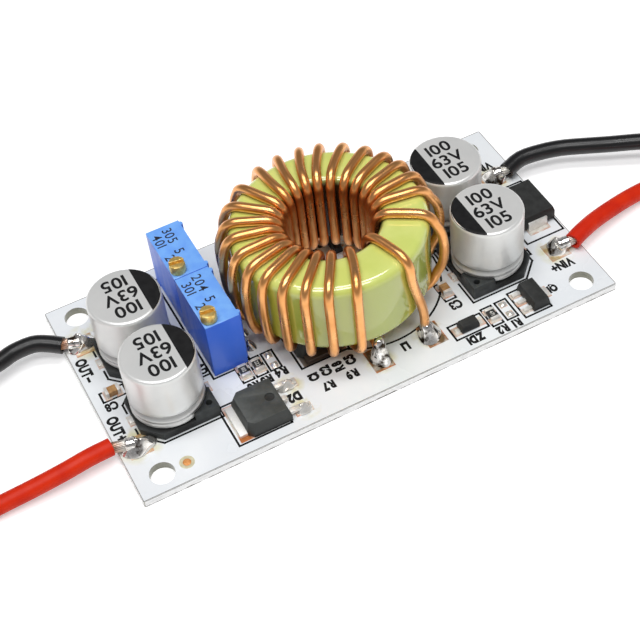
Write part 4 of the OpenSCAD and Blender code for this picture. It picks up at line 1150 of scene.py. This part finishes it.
sleeve_starts = (0.6, 0.38, 0.3, 0.42)
sleeves = [sleeve(lead["strand_path"], first) for lead, first in zip(leads.values(), sleeve_starts)]
coil_joints = [climbing_drop((1.15, -13.25, seat_z), (1.36, -12.55, 5.0), 1.45, 7),
               climbing_drop((8.8, -12.75, seat_z), (8.42, -12.35, 3.6), 1.75, 9)]
print("sleeves:", len(sleeves), "joints of the coil:", len(coil_joints))

# %% Pour the solder
low, high, corners = solid_boxes("solder_joints")
middle, side = (low + high) / 2, high - low
small_width, pin_height = 1.6, 0.5
small, tall = side[:, 0] < small_width, side[:, 2] > pin_height
feet = np.column_stack([middle[:, :2], low[:, 2]])
empty, pins = small & ~tall, small & tall
small_drops = drops(feet[empty], 0.52 * side[empty, :2], 0.8 * side[empty, 2], 5)
pin_drops = drops(feet[pins] + (0.2, 0, 0), 0.72 * side[pins, :2], 1.5 * side[pins, 2], 6)
foot_drops = drops([(-11.6, -10.77, seat_z), (-11.4, -15.22, seat_z)], [(1.3, 1.0)] * 2, [1.05, 1.05], 11)
for name, grid, material, *replaced in (
        ("solder_drops", np.concatenate([wire_drops, pin_drops]), solder, "solder_joints"),
        ("small_solder_drops", np.concatenate([small_drops, foot_drops]), bright_tin),
        ("solder_sleeves", sleeves, solder), ("coil_solder", coil_joints, burnt_solder_with_reflection)):
    fit(surface(name, grid, sharp=80), material, "solder", *replaced)
    print(name, len(grid))

# %% [markdown]
# ## Floor and light
# The module lies on a plain white floor under soft studio light: two long strip panels overhead,
# which draw the bright lines on the rounded edges, and a world that is white at the horizon and
# darker above, so that metal shows light and dark. The camera itself sees a white backdrop. The
# floor adds a little of its own white for the camera and for reflections, so that it stays white
# and still keeps the shadow.

# %% Lay the floor
def seen_directly(tree):
    """One for rays from the camera and for reflected and refracted rays, and zero for the rest."""
    rays = add(tree, "LightPath").outputs
    first = calc(tree, "MAXIMUM", rays["Is Camera Ray"], rays["Is Glossy Ray"])
    return calc(tree, "MAXIMUM", first, rays["Is Transmission Ray"])


white, floor_half = (1, 1, 1, 1), 2000
floor_white = bpy.data.materials.new("floor_white")
floor_white.use_nodes = True
tree = floor_white.node_tree
tree.nodes.clear()
matt = add(tree, "BsdfDiffuse", Color=(0.84, 0.84, 0.84, 1)).outputs[0]
glow = add(tree, "Emission", Color=white, Strength=0.4).outputs[0]
both = add(tree, "AddShader", i0=matt, i1=glow).outputs[0]
floor_mix = add(tree, "MixShader", i0=seen_directly(tree), i1=matt, i2=both).outputs[0]
add(tree, "OutputMaterial", Surface=floor_mix)
corners = floor_half * np.array([(-1, -1, 0), (1, -1, 0), (1, 1, 0), (-1, 1, 0)])
floor = piece("floor", corners, [(0, 1, 2, 3)], outward=False)
floor.data.materials.append(floor_white)
print("floor:", 2 * floor_half, "mm wide")

# %% Paint the world
world = bpy.data.worlds.new("studio")
bpy.context.scene.world = world
world.use_nodes = True
tree = world.node_tree
tree.nodes.clear()
toward = add(tree, "SeparateXYZ", Vector=add(tree, "TexCoord").outputs["Generated"]).outputs["Z"]
sky = add(tree, "ValToRGB", i0=toward)
bands = sky.color_ramp.elements
bands[0].position, bands[0].color = 0.06, white
bands[1].position, bands[1].color = 0.6, (0.16, 0.16, 0.17, 1)
bands.new(0.2).color = (0.36, 0.36, 0.37, 1)
studio = add(tree, "Background", Color=sky.outputs[0], Strength=1.0).outputs[0]
backdrop = add(tree, "Background", Color=white, Strength=1.0).outputs[0]
camera_ray = add(tree, "LightPath").outputs["Is Camera Ray"]
add(tree, "OutputWorld", Surface=add(tree, "MixShader", i0=camera_ray, i1=studio, i2=backdrop).outputs[0])
print("bands of the world:", len(bands))

# %% Hang the lamps
panel_size, panel_height = (400, 80), 450
away = Vector((sin(heading), cos(heading), 0))
sideways = Vector((cos(heading), -sin(heading), 0))
for name, lean, power in (("front_panel", -22, 0.93), ("back_panel", 2, 0.9)):
    lamp = bpy.data.lights.new(name, "AREA")
    lamp.shape, lamp.energy = "RECTANGLE", power
    lamp.size, lamp.size_y = (side * mm for side in panel_size)
    above = away * sin(radians(lean)) + Vector((0, 0, cos(radians(lean))))
    turned = Matrix((sideways, above.cross(sideways), above)).transposed().to_4x4()
    shown(name, lamp).matrix_world = Matrix.Translation(above * panel_height * mm) @ turned
bpy.context.scene.view_settings.view_transform = "Standard"
